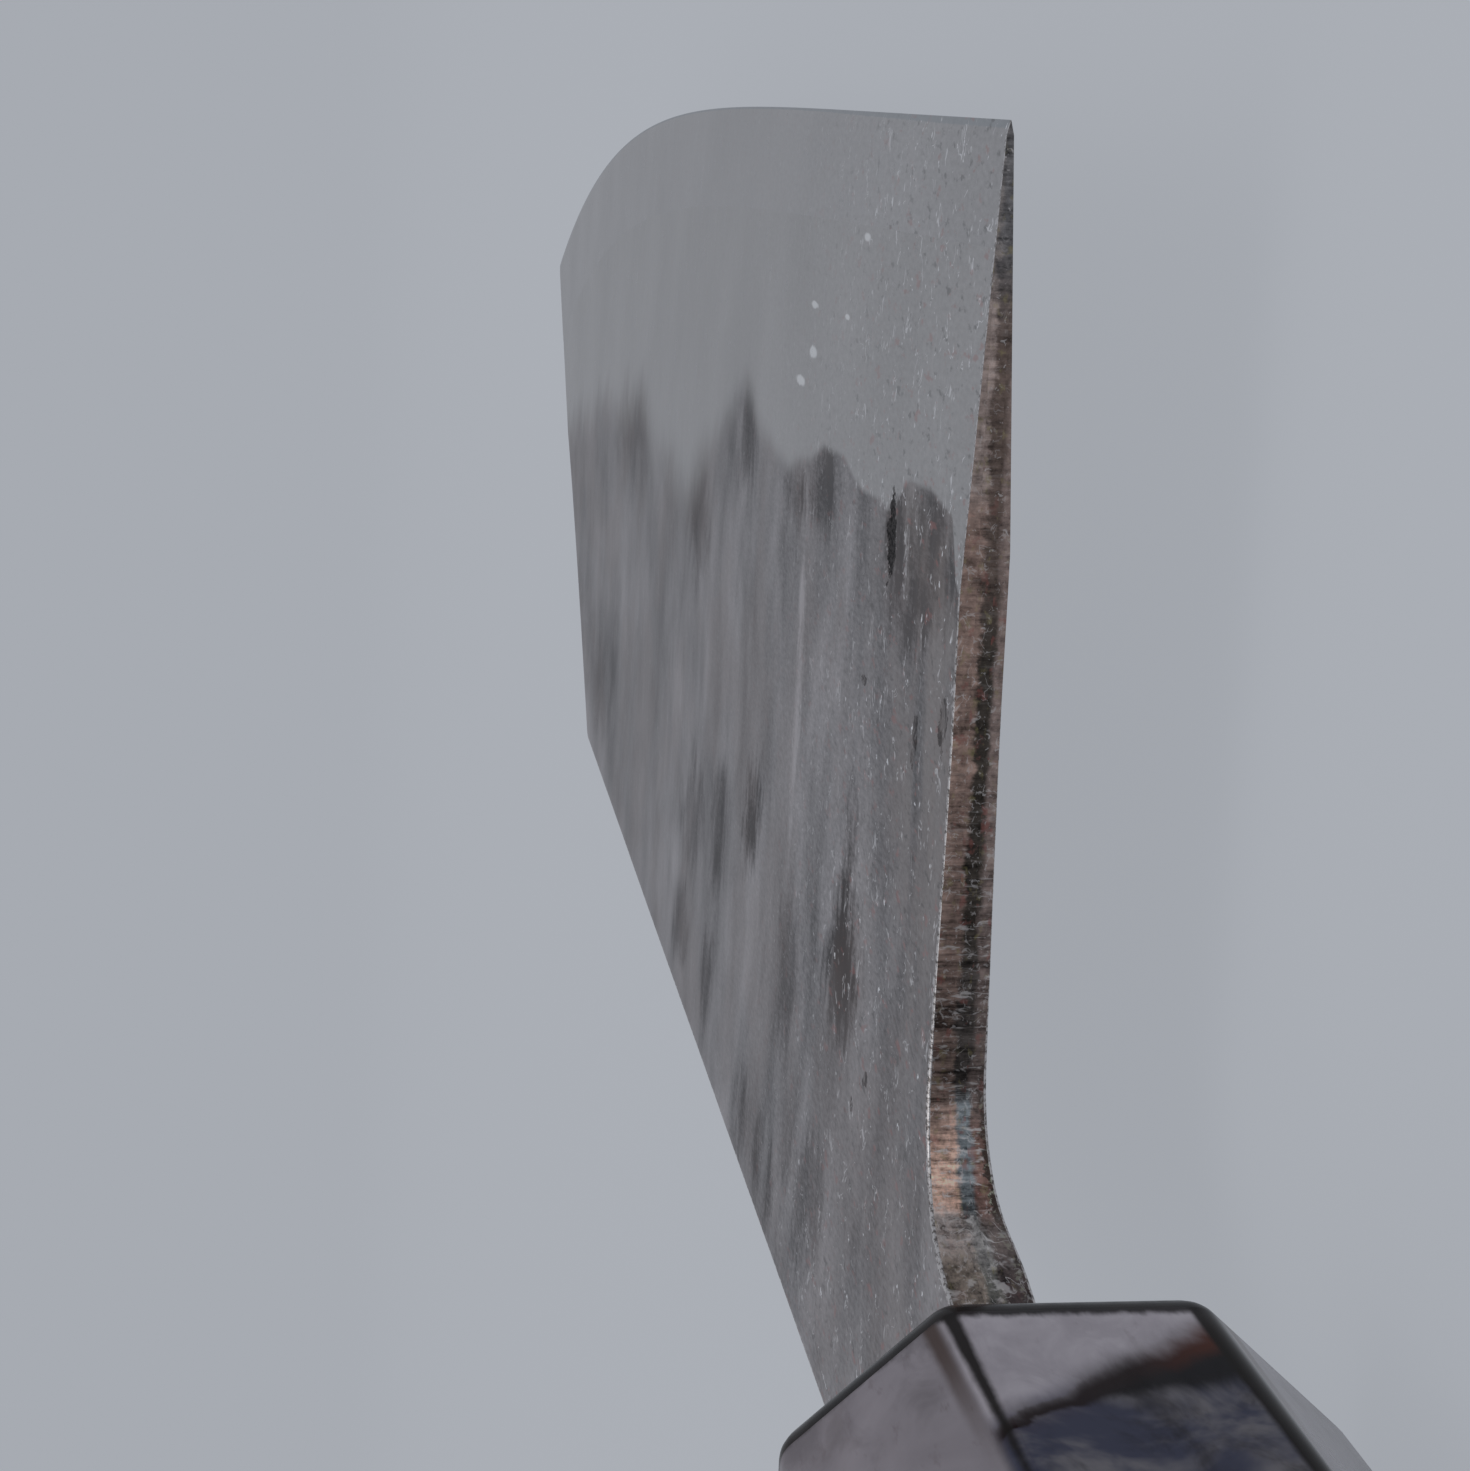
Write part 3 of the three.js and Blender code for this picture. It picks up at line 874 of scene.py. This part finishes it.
    # Eased borders, chipped down to bright metal.
    strip = s.centred(s.noise((2.0, 2.4, 0), 3, 0.6, seed + 4, 1), 0.3)
    strip = s.total(s.attribute("from_border"), strip)
    strip = s.fade(strip, 0.75 * BORDER_EASE, BORDER_EASE, 1.0, 0.0)
    s.paint(s.mix(s.fade(chips, 0.36, 0.58), *CHIPPED_TONES), strip)
    rough = s.total(
        s.fade(ground, 0, 1, 0.40, 0.30),
        s.centred(fine, 0.16),
        s.times(stained, 0.25),
        s.times(pitted, 0.36),
    )
    return s.finish(rough, s.total(fine, grain), 0.004, 0.6, Metallic=1.0)


# Colours of the choil and the neck.
OLIVE = (0.36, 0.31, 0.15)
RUST = (0.36, 0.135, 0.115)
SILVER = (0.74, 0.70, 0.68)
FILLET_SHADOW = (0.040, 0.034, 0.028)
PALE_CRUMB = (0.46, 0.47, 0.36)

# The dark stripe of the core on the choil: its borders on Z from the middle, and half their softness.
STRIPE_TOP = 0.10
STRIPE_BOTTOM = -0.42
STRIPE_SOFTNESS = 0.11


def choil_surface(name, bands, seed, border=None, beyond=(), shadow=0.0):
    """Patina, and one painted highlight, on the filed choil and the neck's underside, hatched across the
    blade's thickness.

    bands are colours along the way from the edge to the handle, with where each begins and is complete.
    Where there is a border, a height on Z, the bands beyond take over below it. The shadow is the share of
    black along the outer border, beside the fillet.
    """
    s = Surface(name)
    way = s.minus(s.distance("Y", HEEL.y), s.distance("X", HEEL.x))
    on_neck = s.fade(way, 35.5, 38)
    hatch = s.noise((0.4, 4.2, 0.45), 4, 0.7, 3, 0, 0.25)
    scratch = s.noise((0.4, 5.5, 1.3), 3, 0.65, 31, 0, 0.5)
    gouge = s.noise((0.5, 1.7, 0.7), 4, 0.7, 9, 0, 0.4)
    cloud = s.noise((0.5, 0.45, 1.0), 3, 0.6, 5)
    speck = s.noise((1.5, 2.4, 2.2), 3, 0.65, seed + 8)
    crumb = s.noise((3.0, 5.0, 5.0), 3, 0.7, seed + 18)
    dust = s.noise((2.0, 3.4, 3.8), 2, 0.6, 61, 3, 1.0)
    stray = s.noise((1.0, 2.0, 2.6), 3, 0.65, seed + 15, 2)
    rust = s.noise((0.7, 1.3, 1.7), 3, 0.65, seed + 25, 2)
    hair = s.away(s.noise((0.7, 1.5, 1.9), 2, 0.5, 71, 2, 1.2))
    worn = s.away(s.noise((0.7, 0.7, 0.9), 3, 0.6, 52, 6, 0.8))
    wander = s.total(way, s.centred(cloud, 1.4), s.centred(hatch, 1.2), s.centred(speck, 1.2))

    def banded(tints):
        mixed = tints[0][-1]
        for start, end, tint in tints[1:]:
            mixed = s.mix(s.fade(wander, start, end), mixed, tint)
        return mixed

    s.colour = banded(bands)
    if border is not None:
        level = s.total(s.distance("Z", HEEL.z), s.centred(hatch, 0.3), s.centred(speck, 0.4))
        level = s.total(level, s.centred(cloud, 0.6))
        over = s.fade(level, border - STRIPE_SOFTNESS, border + STRIPE_SOFTNESS)
        s.colour = s.mix(over, banded(beyond), s.colour)

    # Light and dark of the file's hatching and of the patina.
    filed = s.times(s.fade(way, 18, 27, 0.5, 1.0), s.spread(on_neck, 0, 1, 1.0, 0.85))
    patchy = s.spread(on_neck, 0, 1, 1.0, 2.2)
    tone = s.total(
        s.centred(hatch, 4.0, filed),
        s.centred(gouge, 1.7, filed),
        s.centred(cloud, 0.9, patchy),
        s.centred(speck, 1.3, patchy),
        s.centred(crumb, 1.6, s.spread(on_neck, 0, 1, 1.0, 1.6)),
    )
    s.colour = s.shade(s.colour, s.spread(tone, -0.75, 0.75, 0.28, 1.72))

    # Bright scratches, specks and hair lines, then olive and rusty patches, then wear on the neck.
    bright = s.times(s.fade(scratch, 0.56, 0.68, 0.0, 0.7), s.fade(way, 20, 27, 0.2, 1.0), filed)
    s.paint(SILVER, bright)
    s.paint(SILVER, s.fade(dust, 0.64, 0.72, 0.0, 0.5))
    hair = s.times(s.fade(hair, 0.008, 0.028, 0.45, 0.0), s.fade(speck, 0.50, 0.58))
    s.paint(SILVER, hair, s.fade(way, 6, 18, 0.3, 1.0))
    s.paint(OLIVE, s.fade(stray, 0.56, 0.72, 0.0, 0.45))
    rust = s.times(s.fade(rust, 0.57, 0.68, 0.0, 0.5), s.fade(way, 8, 16))
    s.paint(RUST, rust, s.spread(on_neck, 0, 1, 1.0, 0.2))
    worn = s.times(s.fade(worn, 0.004, 0.013, 0.8, 0.0), on_neck, s.fade(cloud, 0.46, 0.58))
    s.paint(SILVER, worn)
    if shadow:
        outward = s.total(s.attribute("across"), s.centred(speck, 1.3), s.centred(hatch, 0.9))
        dark = s.times(s.fade(outward, 0.66, 0.80, 0.0, shadow), s.fade(way, 29, 34, 0.1, 1.0))
        dark = s.times(dark, s.fade(way, 36, 38, 1.0, 0.4))
        s.paint(FILLET_SHADOW, dark)
        s.paint(PALE_CRUMB, dark, s.fade(crumb, 0.54, 0.62))
    rough = s.spread(hatch, 0.3, 0.7, 0.36, 0.5)
    return s.finish(rough, s.total(hatch, s.times(gouge, filed)), 0.015, 0.7, Metallic=0.9)


def spine_surface(name, dark, light, seed):
    """Ground spine, with fine lines along it."""
    s = Surface(name)
    lines = s.noise((0.06, 0.5, 6), 4, 0.6, seed)
    cloud = s.noise((0.1, 0.1, 0.1), 3, 0.5, seed + 3)
    tone = s.total(s.times(lines, 0.6), s.times(cloud, 0.4))
    s.colour = s.mix(s.spread(tone, 0.35, 0.65), dark, light)
    return s.finish(s.spread(lines, 0.3, 0.7, 0.32, 0.46), lines, 0.006, 0.6, Metallic=1.0)


# Colours of the horn, with dark and light where there are two. Those named as reflections are painted into
# the colour.
HORN_JET = ((0.006, 0.005, 0.006), (0.020, 0.016, 0.017))
HORN_BLUE_REFLECTION = ((0.044, 0.047, 0.076), (0.145, 0.138, 0.152))
HORN_MAUVE_REFLECTION = ((0.235, 0.216, 0.240), (0.315, 0.292, 0.322))
HORN_RIM = ((0.008, 0.007, 0.007), (0.020, 0.015, 0.014))
HORN_GREY = (0.075, 0.064, 0.068)
HORN_TAN = (0.150, 0.120, 0.105)
HORN_BAND = (0.005, 0.004, 0.005)
HORN_BROWN = (0.065, 0.018, 0.010)
HORN_DUSK_REFLECTION = (0.11, 0.080, 0.085)
HORN_SHEEN_REFLECTION = (0.45, 0.42, 0.455)
HORN_AMBER = (0.062, 0.044, 0.040)
HORN_RIDGE_DARK_REFLECTION = (0.007, 0.005, 0.004)
HORN_MOUTH = (0.012, 0.010, 0.010)


def horn_surface(name):
    """Polished dark horn, with reflections painted into its colour: mauve grey and blue grey clouds, and
    black along its ridges.
    """
    s = Surface(name)
    fibre = s.noise((0.05, 0.8, 0.8), 4, 0.6, 2)
    cloud = s.noise((0.20, 0.24, 0.24), 4, 0.6, 8, 0, 0.6)
    mottle = s.noise((0.30, 0.55, 0.55), 4, 0.6, 5, 0, 0.5)
    fine = s.noise((0.7, 2.6, 2.6), 3, 0.6, 4)
    drift = s.noise((0.045, 0.17, 0.17), 4, 0.6, 14, 0, 0.5)
    behind = s.minus(0.0, s.distance("X", MOUTH_X))
    aside = s.distance("Z", AXIS_Z)
    above = s.distance("Y", AXIS_Y)

    # The facet on the side of the edge, and the slanted ones beside it.
    facet_lean = (BUTT_HEIGHT - MOUTH_HEIGHT) / 2 / HANDLE_LENGTH
    from_facet = s.total(above, MOUTH_HEIGHT / 2, s.times(behind, facet_lean))
    on_edge_side = s.fade(from_facet, 0.12, 0.4, 1.0, 0.0)
    on_slant = s.times(s.fade(from_facet, 0.12, 0.4), s.fade(above, -5, -2, 1.0, 0.0))

    # Colours: a painted blue grey reflection, mottled with black, on the edge side, and the horn's own
    # streaked black elsewhere.
    jet = s.mix(fibre, *HORN_JET)
    blue = s.mix(s.fade(cloud, 0.40, 0.60), *HORN_BLUE_REFLECTION)
    navy_reflection = s.mix(s.fade(mottle, 0.30, 0.54, 0.3, 0.97), jet, blue)
    streaked = s.total(drift, s.centred(fibre, 0.35))
    plain = s.mix(s.fade(streaked, 0.40, 0.72), jet, HORN_GREY)
    plain = s.mix(s.fade(streaked, 0.56, 0.80, 0.0, 0.5), plain, HORN_TAN)
    s.colour = s.mix(on_edge_side, plain, navy_reflection)

    # A black and brown band across the edge side, with a pale painted reflection between it and the mouth.
    depth = s.total(behind, s.times(aside, -0.72), s.centred(cloud, 2.2), s.centred(fine, 0.35))
    rightward = s.fade(aside, -3.5, 2.5, 1.0, 0.0)
    reach = s.spread(rightward, 0, 1, 0.4, 2.3)
    band = s.away(depth, s.spread(rightward, 0, 1, 6.8, 7.6))
    band = s.fade(s.math("DIVIDE", band, reach), 0.5, 1.1, 0.95, 0.0)
    s.paint(HORN_BAND, band, on_edge_side)
    brown = s.times(s.fade(s.away(depth, 6.7), 0.3, 1.3, 0.9, 0.0), s.fade(aside, -3.2, -0.2, 1.0, 0.12))
    s.paint(HORN_BROWN, brown, on_edge_side)
    mauve = s.mix(s.spread(cloud, 0.3, 0.7), *HORN_MAUVE_REFLECTION)
    mauve = s.mix(s.fade(fine, 0.58, 0.74, 0.0, 0.3), mauve, HORN_DUSK_REFLECTION)
    painted_sheen = s.mix(s.fade(mottle, 0.35, 0.65, 0.3, 0.85), mauve, HORN_SHEEN_REFLECTION)
    pale = s.fade(depth, 5.2, 7.0, 0.97, 0.0)
    s.paint(painted_sheen, pale, on_edge_side)
    # Painted mauve grey reflection on the slanted facets.
    side = s.fade(s.total(mottle, s.times(behind, 0.03)), 0.40, 0.66, 0.50, 0.75)
    s.paint(mauve, side, on_slant)

    # A black line along the ridges, a painted dark reflection, with amber beside it, and the dark border of
    # the mouth.
    mouth_flat = MOUTH_WIDTH / 2 - MOUTH_SLANT_WIDTH
    ridge_lean = (BUTT_WIDTH / 2 - BUTT_SLANT_WIDTH - mouth_flat) / HANDLE_LENGTH
    off_ridge = s.minus(s.math("ABSOLUTE", aside), s.total(s.times(behind, ridge_lean), mouth_flat))
    squares = s.total(s.times(off_ridge, off_ridge), s.times(from_facet, from_facet))
    from_ridge = s.total(s.math("SQRT", squares), s.centred(fine, 0.12))
    from_line = s.total(from_ridge, s.times(behind, 0.014), -0.01, s.times(rightward, -0.3))
    amber = s.fade(s.away(from_line, 0.66), 0.12, 0.42, 1.0, 0.0)
    s.paint(HORN_AMBER, amber, on_slant, s.fade(behind, 3.5, 12, 0.95, 0.0))
    s.paint(HORN_RIDGE_DARK_REFLECTION, s.fade(from_line, 0.16, 0.38, 0.97, 0.0))
    rim = s.total(behind, s.centred(fine, 0.5), s.spread(on_edge_side, 0, 1, 0.4, 0.0))
    rim = s.fade(rim, MOUTH_EASE + 0.1, MOUTH_EASE + 0.6, 0.95, 0.0)
    s.paint(HORN_MOUTH, rim)
    rough = s.total(s.times(fine, 0.10), 0.08)
    return s.finish(rough, s.total(fibre, fine), 0.006, 0.5, IOR=1.54, Specular_IOR_Level=0.025)


def worn_horn_surface(name):
    """The rim of the ferrule's mouth, dull and almost black."""
    s = Surface(name)
    grain = s.noise((1.2, 2.0, 2.0), 4, 0.6, 6)
    cloud = s.noise((0.25, 0.3, 0.3), 3, 0.6, 12)
    s.colour = s.mix(s.spread(cloud, 0.3, 0.7), *HORN_RIM)
    return s.finish(s.spread(grain, 0.3, 0.7, 0.16, 0.28), grain, 0.01, 0.6, Specular_IOR_Level=0.04)


def wood_surface(name, dark, mid, light, rough, seed, grain=1.0):
    """Wood with its grain along the handle, and fine open pores."""
    s = Surface(name)
    bands = s.noise((0.012 * grain, 0.28 * grain, 0.28 * grain), 4, 0.55, seed, 0, 0.8)
    streaks = s.noise((0.03 * grain, 1.6 * grain, 1.6 * grain), 4, 0.6, seed + 3)
    pores = s.noise((0.22 * grain, 6 * grain, 6 * grain), 2, 0.5, seed + 9)
    s.colour = s.mix(s.spread(bands, 0.3, 0.7), dark, mid)
    s.paint(light, s.spread(streaks, 0.45, 0.8))
    pore = s.fade(pores, 0.58, 0.66)
    s.paint(tuple(value * 0.35 for value in dark), pore, 0.75)
    relief = s.minus(s.times(streaks, 0.3), pore)
    return s.finish(s.total(s.times(streaks, 0.2), rough), relief, 0.03, 0.7)


def filler_surface(name, dark, light, rough, seed):
    """Wax or adhesive, cloudy and slightly uneven."""
    s = Surface(name)
    cloud = s.noise((0.6, 0.6, 0.6), 4, 0.6, seed)
    grain = s.noise((5, 5, 5), 2, 0.5, seed + 4)
    s.colour = s.mix(s.spread(cloud, 0.3, 0.7), dark, light)
    relief = s.total(cloud, s.times(grain, 0.3))
    return s.finish(s.total(s.times(grain, 0.2), rough), relief, 0.03, 0.6)


# Patina along the choil and the neck, with one painted highlight: where each colour begins, where it is
# complete, and the colour.
FRONT_BANDS = [
    (0, 0, (0.28, 0.25, 0.235)),
    (3, 7, (0.39, 0.305, 0.27)),
    (11, 12.5, (0.35, 0.242, 0.200)),
    (20, 26, (0.25, 0.178, 0.150)),
    # A painted highlight, not patina: bright copper on the fillet where it turns towards the light.
    (31.0, 34.2, (0.90, 0.585, 0.455)),
    (35.8, 36.8, (0.47, 0.405, 0.375)),
    (38, 40, (0.25, 0.205, 0.17)),
    (44, 45.5, (0.40, 0.255, 0.185)),
]
CORE_BANDS = [
    (0, 0, (0.20, 0.19, 0.19)),
    (3, 7, (0.17, 0.125, 0.105)),
    (13, 17, (0.072, 0.060, 0.050)),
    (25, 28, (0.105, 0.090, 0.082)),
    (30.2, 31.8, (0.26, 0.285, 0.295)),
    (35.8, 36.8, (0.37, 0.35, 0.335)),
    (38, 41, (0.15, 0.145, 0.128)),
    (46.6, 47.8, (0.065, 0.060, 0.058)),
]
BACK_BANDS = [
    (0, 0, (0.25, 0.24, 0.24)),
    (3, 7, (0.345, 0.26, 0.23)),
    (20, 27, (0.22, 0.168, 0.15)),
    (31.2, 32.6, (0.29, 0.175, 0.145)),
    (35.8, 37.2, (0.20, 0.16, 0.145)),
    (38, 41, (0.085, 0.062, 0.060)),
    (43, 45, (0.115, 0.072, 0.068)),
    (46.6, 48, (0.075, 0.066, 0.068)),
]

# Colours of spine, woods and fillers, from dark to light.
SPINE_TONES = ((0.24, 0.24, 0.25), (0.38, 0.38, 0.39))
GRIP_TONES = ((0.030, 0.013, 0.008), (0.085, 0.036, 0.018), (0.15, 0.07, 0.034))
DOWEL_TONES = ((0.30, 0.19, 0.10), (0.45, 0.31, 0.17), (0.55, 0.40, 0.24))
ADHESIVE_TONES = ((0.42, 0.33, 0.18), (0.58, 0.48, 0.30))
WAX_TONES = ((0.016, 0.012, 0.010), (0.035, 0.027, 0.022))

front_face = blade_face("front_face", BEVEL_TONES, 0, FRONT_PITS, FRONT_STAINS, FRONT_PAINTED_GLEAMS, FRONT_PAINTED_GLINTS)
back_face = blade_face("back_face", BEVEL_TONES, seed=23)
core_face = blade_face("core_face", CORE_TONES, seed=3)
choil_front = choil_surface("choil_front", FRONT_BANDS, 1)
choil_core = choil_surface("choil_core", FRONT_BANDS, 11, STRIPE_TOP, CORE_BANDS)
choil_back = choil_surface("choil_back", CORE_BANDS, 21, STRIPE_BOTTOM, BACK_BANDS, shadow=0.85)
spine_grey = spine_surface("spine_grey", *SPINE_TONES, seed=2)
horn = horn_surface("horn")
worn_horn = worn_horn_surface("worn_horn")
grip_wood = wood_surface("grip_wood", *GRIP_TONES, rough=0.32, seed=5)
dowel_wood = wood_surface("dowel_wood", *DOWEL_TONES, rough=0.55, seed=31, grain=1.6)
adhesive = filler_surface("adhesive", *ADHESIVE_TONES, rough=0.35, seed=3)
seal_wax = filler_surface("seal_wax", *WAX_TONES, rough=0.45, seed=17)

# Pieces


def place(piece, node, slot):
    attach(piece, "root")
    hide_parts(node)


place(
    cladding("blade_front", 1, FRONT_BEVEL, FRONT_PITS, [front_face, choil_front, spine_grey], *FRONT_STEPS),
    "cladding_front",
    "iron_cladding",
)
place(
    cladding("blade_back", -1, BACK_BEVEL, [], [back_face, choil_back, spine_grey], *BACK_STEPS),
    "cladding_back",
    "iron_cladding",
)
place(core("blade_core", [core_face, choil_core, spine_grey]), "core_steel", "core_steel")

bore_radius = DOWEL_DIAMETER / 2 + FIT_GAP
slot_margin = SEAL_WALL + FIT_GAP
slot_half = (NECK_HEIGHT / 2 + slot_margin, NECK_THICKNESS / 2 + slot_margin)
angles = ring_angles(MOUTH_X)
ferrule_side = [
    octagon_ring(JOINT_X, JOINT_EASE),
    octagon_ring(JOINT_X + JOINT_TURN, JOINT_TURN),
    octagon_ring(JOINT_X + JOINT_EASE, 0),
    octagon_ring((JOINT_X + MOUTH_X) / 2, 0),
    octagon_ring(MOUTH_X - MOUTH_EASE - RIM_MARGIN, 0),
]
ferrule_rings = [
    *ferrule_side,
    *rounded_end(MOUTH_X, -1, MOUTH_EASE)[::-1],
    slot_ring(MOUTH_X, *slot_half, angles),
    slot_ring(MOUTH_X - MOUTH_WALL, *slot_half, angles),
    round_ring(MOUTH_X - MOUTH_WALL, bore_radius, angles),
    round_ring(JOINT_X, bore_radius, angles),
]
rim = range(len(ferrule_side), len(ferrule_side) + RIM_STEPS + 1)
place(loft_piece("horn_ferrule", ferrule_rings, True, [horn, worn_horn], rim), "ferrule", "horn")

bore_end = MOUTH_X - MOUTH_WALL - DOWEL_LENGTH - FIT_GAP
body_rings = [
    round_ring(bore_end, bore_radius, angles),
    round_ring(JOINT_X, bore_radius, angles),
    octagon_ring(JOINT_X, JOINT_EASE),
    octagon_ring(JOINT_X - JOINT_TURN, JOINT_TURN),
    octagon_ring(JOINT_X - JOINT_EASE, 0),
    octagon_ring((JOINT_X + BUTT_X) / 2, 0),
    *rounded_end(BUTT_X, 1, BUTT_EASE)[::-1],
]
place(loft_piece("grip_body", body_rings, False, [grip_wood]), "handle_body", "grip_wood")

seal_out = (NECK_HEIGHT / 2 + SEAL_WALL, NECK_THICKNESS / 2 + SEAL_WALL)
seal_in = (NECK_HEIGHT / 2 + FIT_GAP, NECK_THICKNESS / 2 + FIT_GAP)
seal_middle = tuple((out + inside) / 2 for out, inside in zip(seal_out, seal_in))
seal_rings = [
    slot_ring(MOUTH_X - MOUTH_WALL, *seal_out, angles),
    slot_ring(MOUTH_X - SEAL_RECESS, *seal_out, angles),
    slot_ring(MOUTH_X - SEAL_MENISCUS, *seal_middle, angles),
    slot_ring(MOUTH_X - SEAL_RECESS, *seal_in, angles),
    slot_ring(MOUTH_X - MOUTH_WALL, *seal_in, angles),
]
place(loft_piece("mouth_filler", seal_rings, True, [seal_wax]), "mouth_seal", "seal_wax")

for node, finish in (("tang_dowel", dowel_wood), ("tang_bedding", adhesive)):
    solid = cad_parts[node]
    solid.data.materials.clear()
    solid.data.materials.append(finish)

# Floor, light and camera

BACKDROP = (0.386, 0.407, 0.445)
WORLD_LIGHT = (0.50, 0.51, 0.53)
FLOOR_TINT = tuple(shown / light for shown, light in zip(BACKDROP, WORLD_LIGHT))
FLOOR_HALF = 30.0
FLOOR_GLOW = 0.91


def seen_directly(tree):
    """1 for rays that show the background as it is: camera, gloss and glass."""
    path = add_node(tree, "LightPath", {}).outputs
    seen = path["Is Camera Ray"]
    for label in ("Is Glossy Ray", "Is Transmission Ray"):
        inputs = {0: seen, 1: path[label]}
        seen = add_node(tree, "Math", inputs, operation="MAXIMUM").outputs[0]
    return seen


floor_mesh = bpy.data.meshes.new("floor")
floor_z = cad_box[0].z
corners = [(-1, -1), (1, -1), (1, 1), (-1, 1)]
floor_mesh.from_pydata([(x * FLOOR_HALF, y * FLOOR_HALF, floor_z) for x, y in corners], [], [(0, 1, 2, 3)])
floor = bpy.data.objects.new("floor", floor_mesh)
bpy.context.scene.collection.objects.link(floor)
floor_material = bpy.data.materials.new("floor")
floor_material.use_nodes = True
floor_tree = floor_material.node_tree
floor_tree.nodes.clear()
matt = add_node(floor_tree, "BsdfDiffuse", {"Color": (*FLOOR_TINT, 1)}).outputs["BSDF"]
glow = add_node(floor_tree, "Emission", {"Color": (*BACKDROP, 1)}).outputs["Emission"]
inputs = {0: seen_directly(floor_tree), 1: FLOOR_GLOW}
share = add_node(floor_tree, "Math", inputs, operation="MULTIPLY").outputs[0]
both = add_node(floor_tree, "MixShader", {"Fac": share, 1: matt, 2: glow}).outputs["Shader"]
add_node(floor_tree, "OutputMaterial", {"Surface": both})
floor_mesh.materials.append(floor_material)

world = bpy.data.worlds.new("studio")
world.use_nodes = True
world_tree = world.node_tree
world_tree.nodes.clear()
lit = add_node(world_tree, "Background", {"Color": (*WORLD_LIGHT, 1)}).outputs["Background"]
shown = add_node(world_tree, "Background", {"Color": (*BACKDROP, 1)}).outputs["Background"]
inputs = {"Fac": seen_directly(world_tree), 1: lit, 2: shown}
both = add_node(world_tree, "MixShader", inputs).outputs["Shader"]
add_node(world_tree, "OutputWorld", {"Surface": both})
bpy.context.scene.world = world


def softbox(name, direction, distance, width, height, radiance, tint):
    """A soft rectangular lamp that faces the knife. Radiance is what a mirror would show of it."""
    lamp = bpy.data.lights.new(name, "AREA")
    lamp.shape = "RECTANGLE"
    lamp.size = width
    lamp.size_y = height
    lamp.energy = radiance * math.pi * width * height
    lamp.color = tint
    holder = bpy.data.objects.new(name, lamp)
    aim = Vector((MOUTH_X, AXIS_Y, AXIS_Z)) * MM
    towards = Vector(direction).normalized()
    holder.location = aim + towards * distance
    holder.rotation_euler = towards.to_track_quat("Z", "Y").to_euler()
    holder.visible_camera = False
    bpy.context.scene.collection.objects.link(holder)


softbox(
    "key", (-0.12, -0.10, 0.98), distance=1.2, width=1.0, height=0.8, radiance=1.6, tint=(1.0, 0.99, 1.0)
)
softbox("fill", (0.1, 0.75, 0.65), distance=1.4, width=0.9, height=0.7, radiance=0.8, tint=(1.0, 1.0, 1.0))

# The camera stands close behind the mouth of the handle, low beside the blade, and looks along it.
CAMERA_PLACE = (HEEL + Vector((-89.479, -0.438, 20.55))) * MM
CAMERA_FORWARD = Vector((0.9676, 0.2110, -0.1389)).normalized()
CAMERA_DOWN = Vector((-0.2141, 0.9768, -0.0076))
CAMERA_LENS = 72.62
CAMERA_NEAR = 5 * MM
CAMERA_FAR = 20
right = CAMERA_DOWN.cross(CAMERA_FORWARD).normalized()
up = right.cross(CAMERA_FORWARD).normalized()
camera_data = bpy.data.cameras.new("camera")
camera_data.lens = CAMERA_LENS
camera_data.clip_start = CAMERA_NEAR
camera_data.clip_end = CAMERA_FAR
camera = bpy.data.objects.new("camera", camera_data)
bpy.context.scene.collection.objects.link(camera)
turn = Matrix((right, up, -CAMERA_FORWARD)).transposed()
camera.matrix_world = Matrix.Translation(CAMERA_PLACE) @ turn.to_4x4()
bpy.context.scene.camera = camera
bpy.context.scene.view_settings.view_transform = "Standard"

bpy.context.view_layer.update()
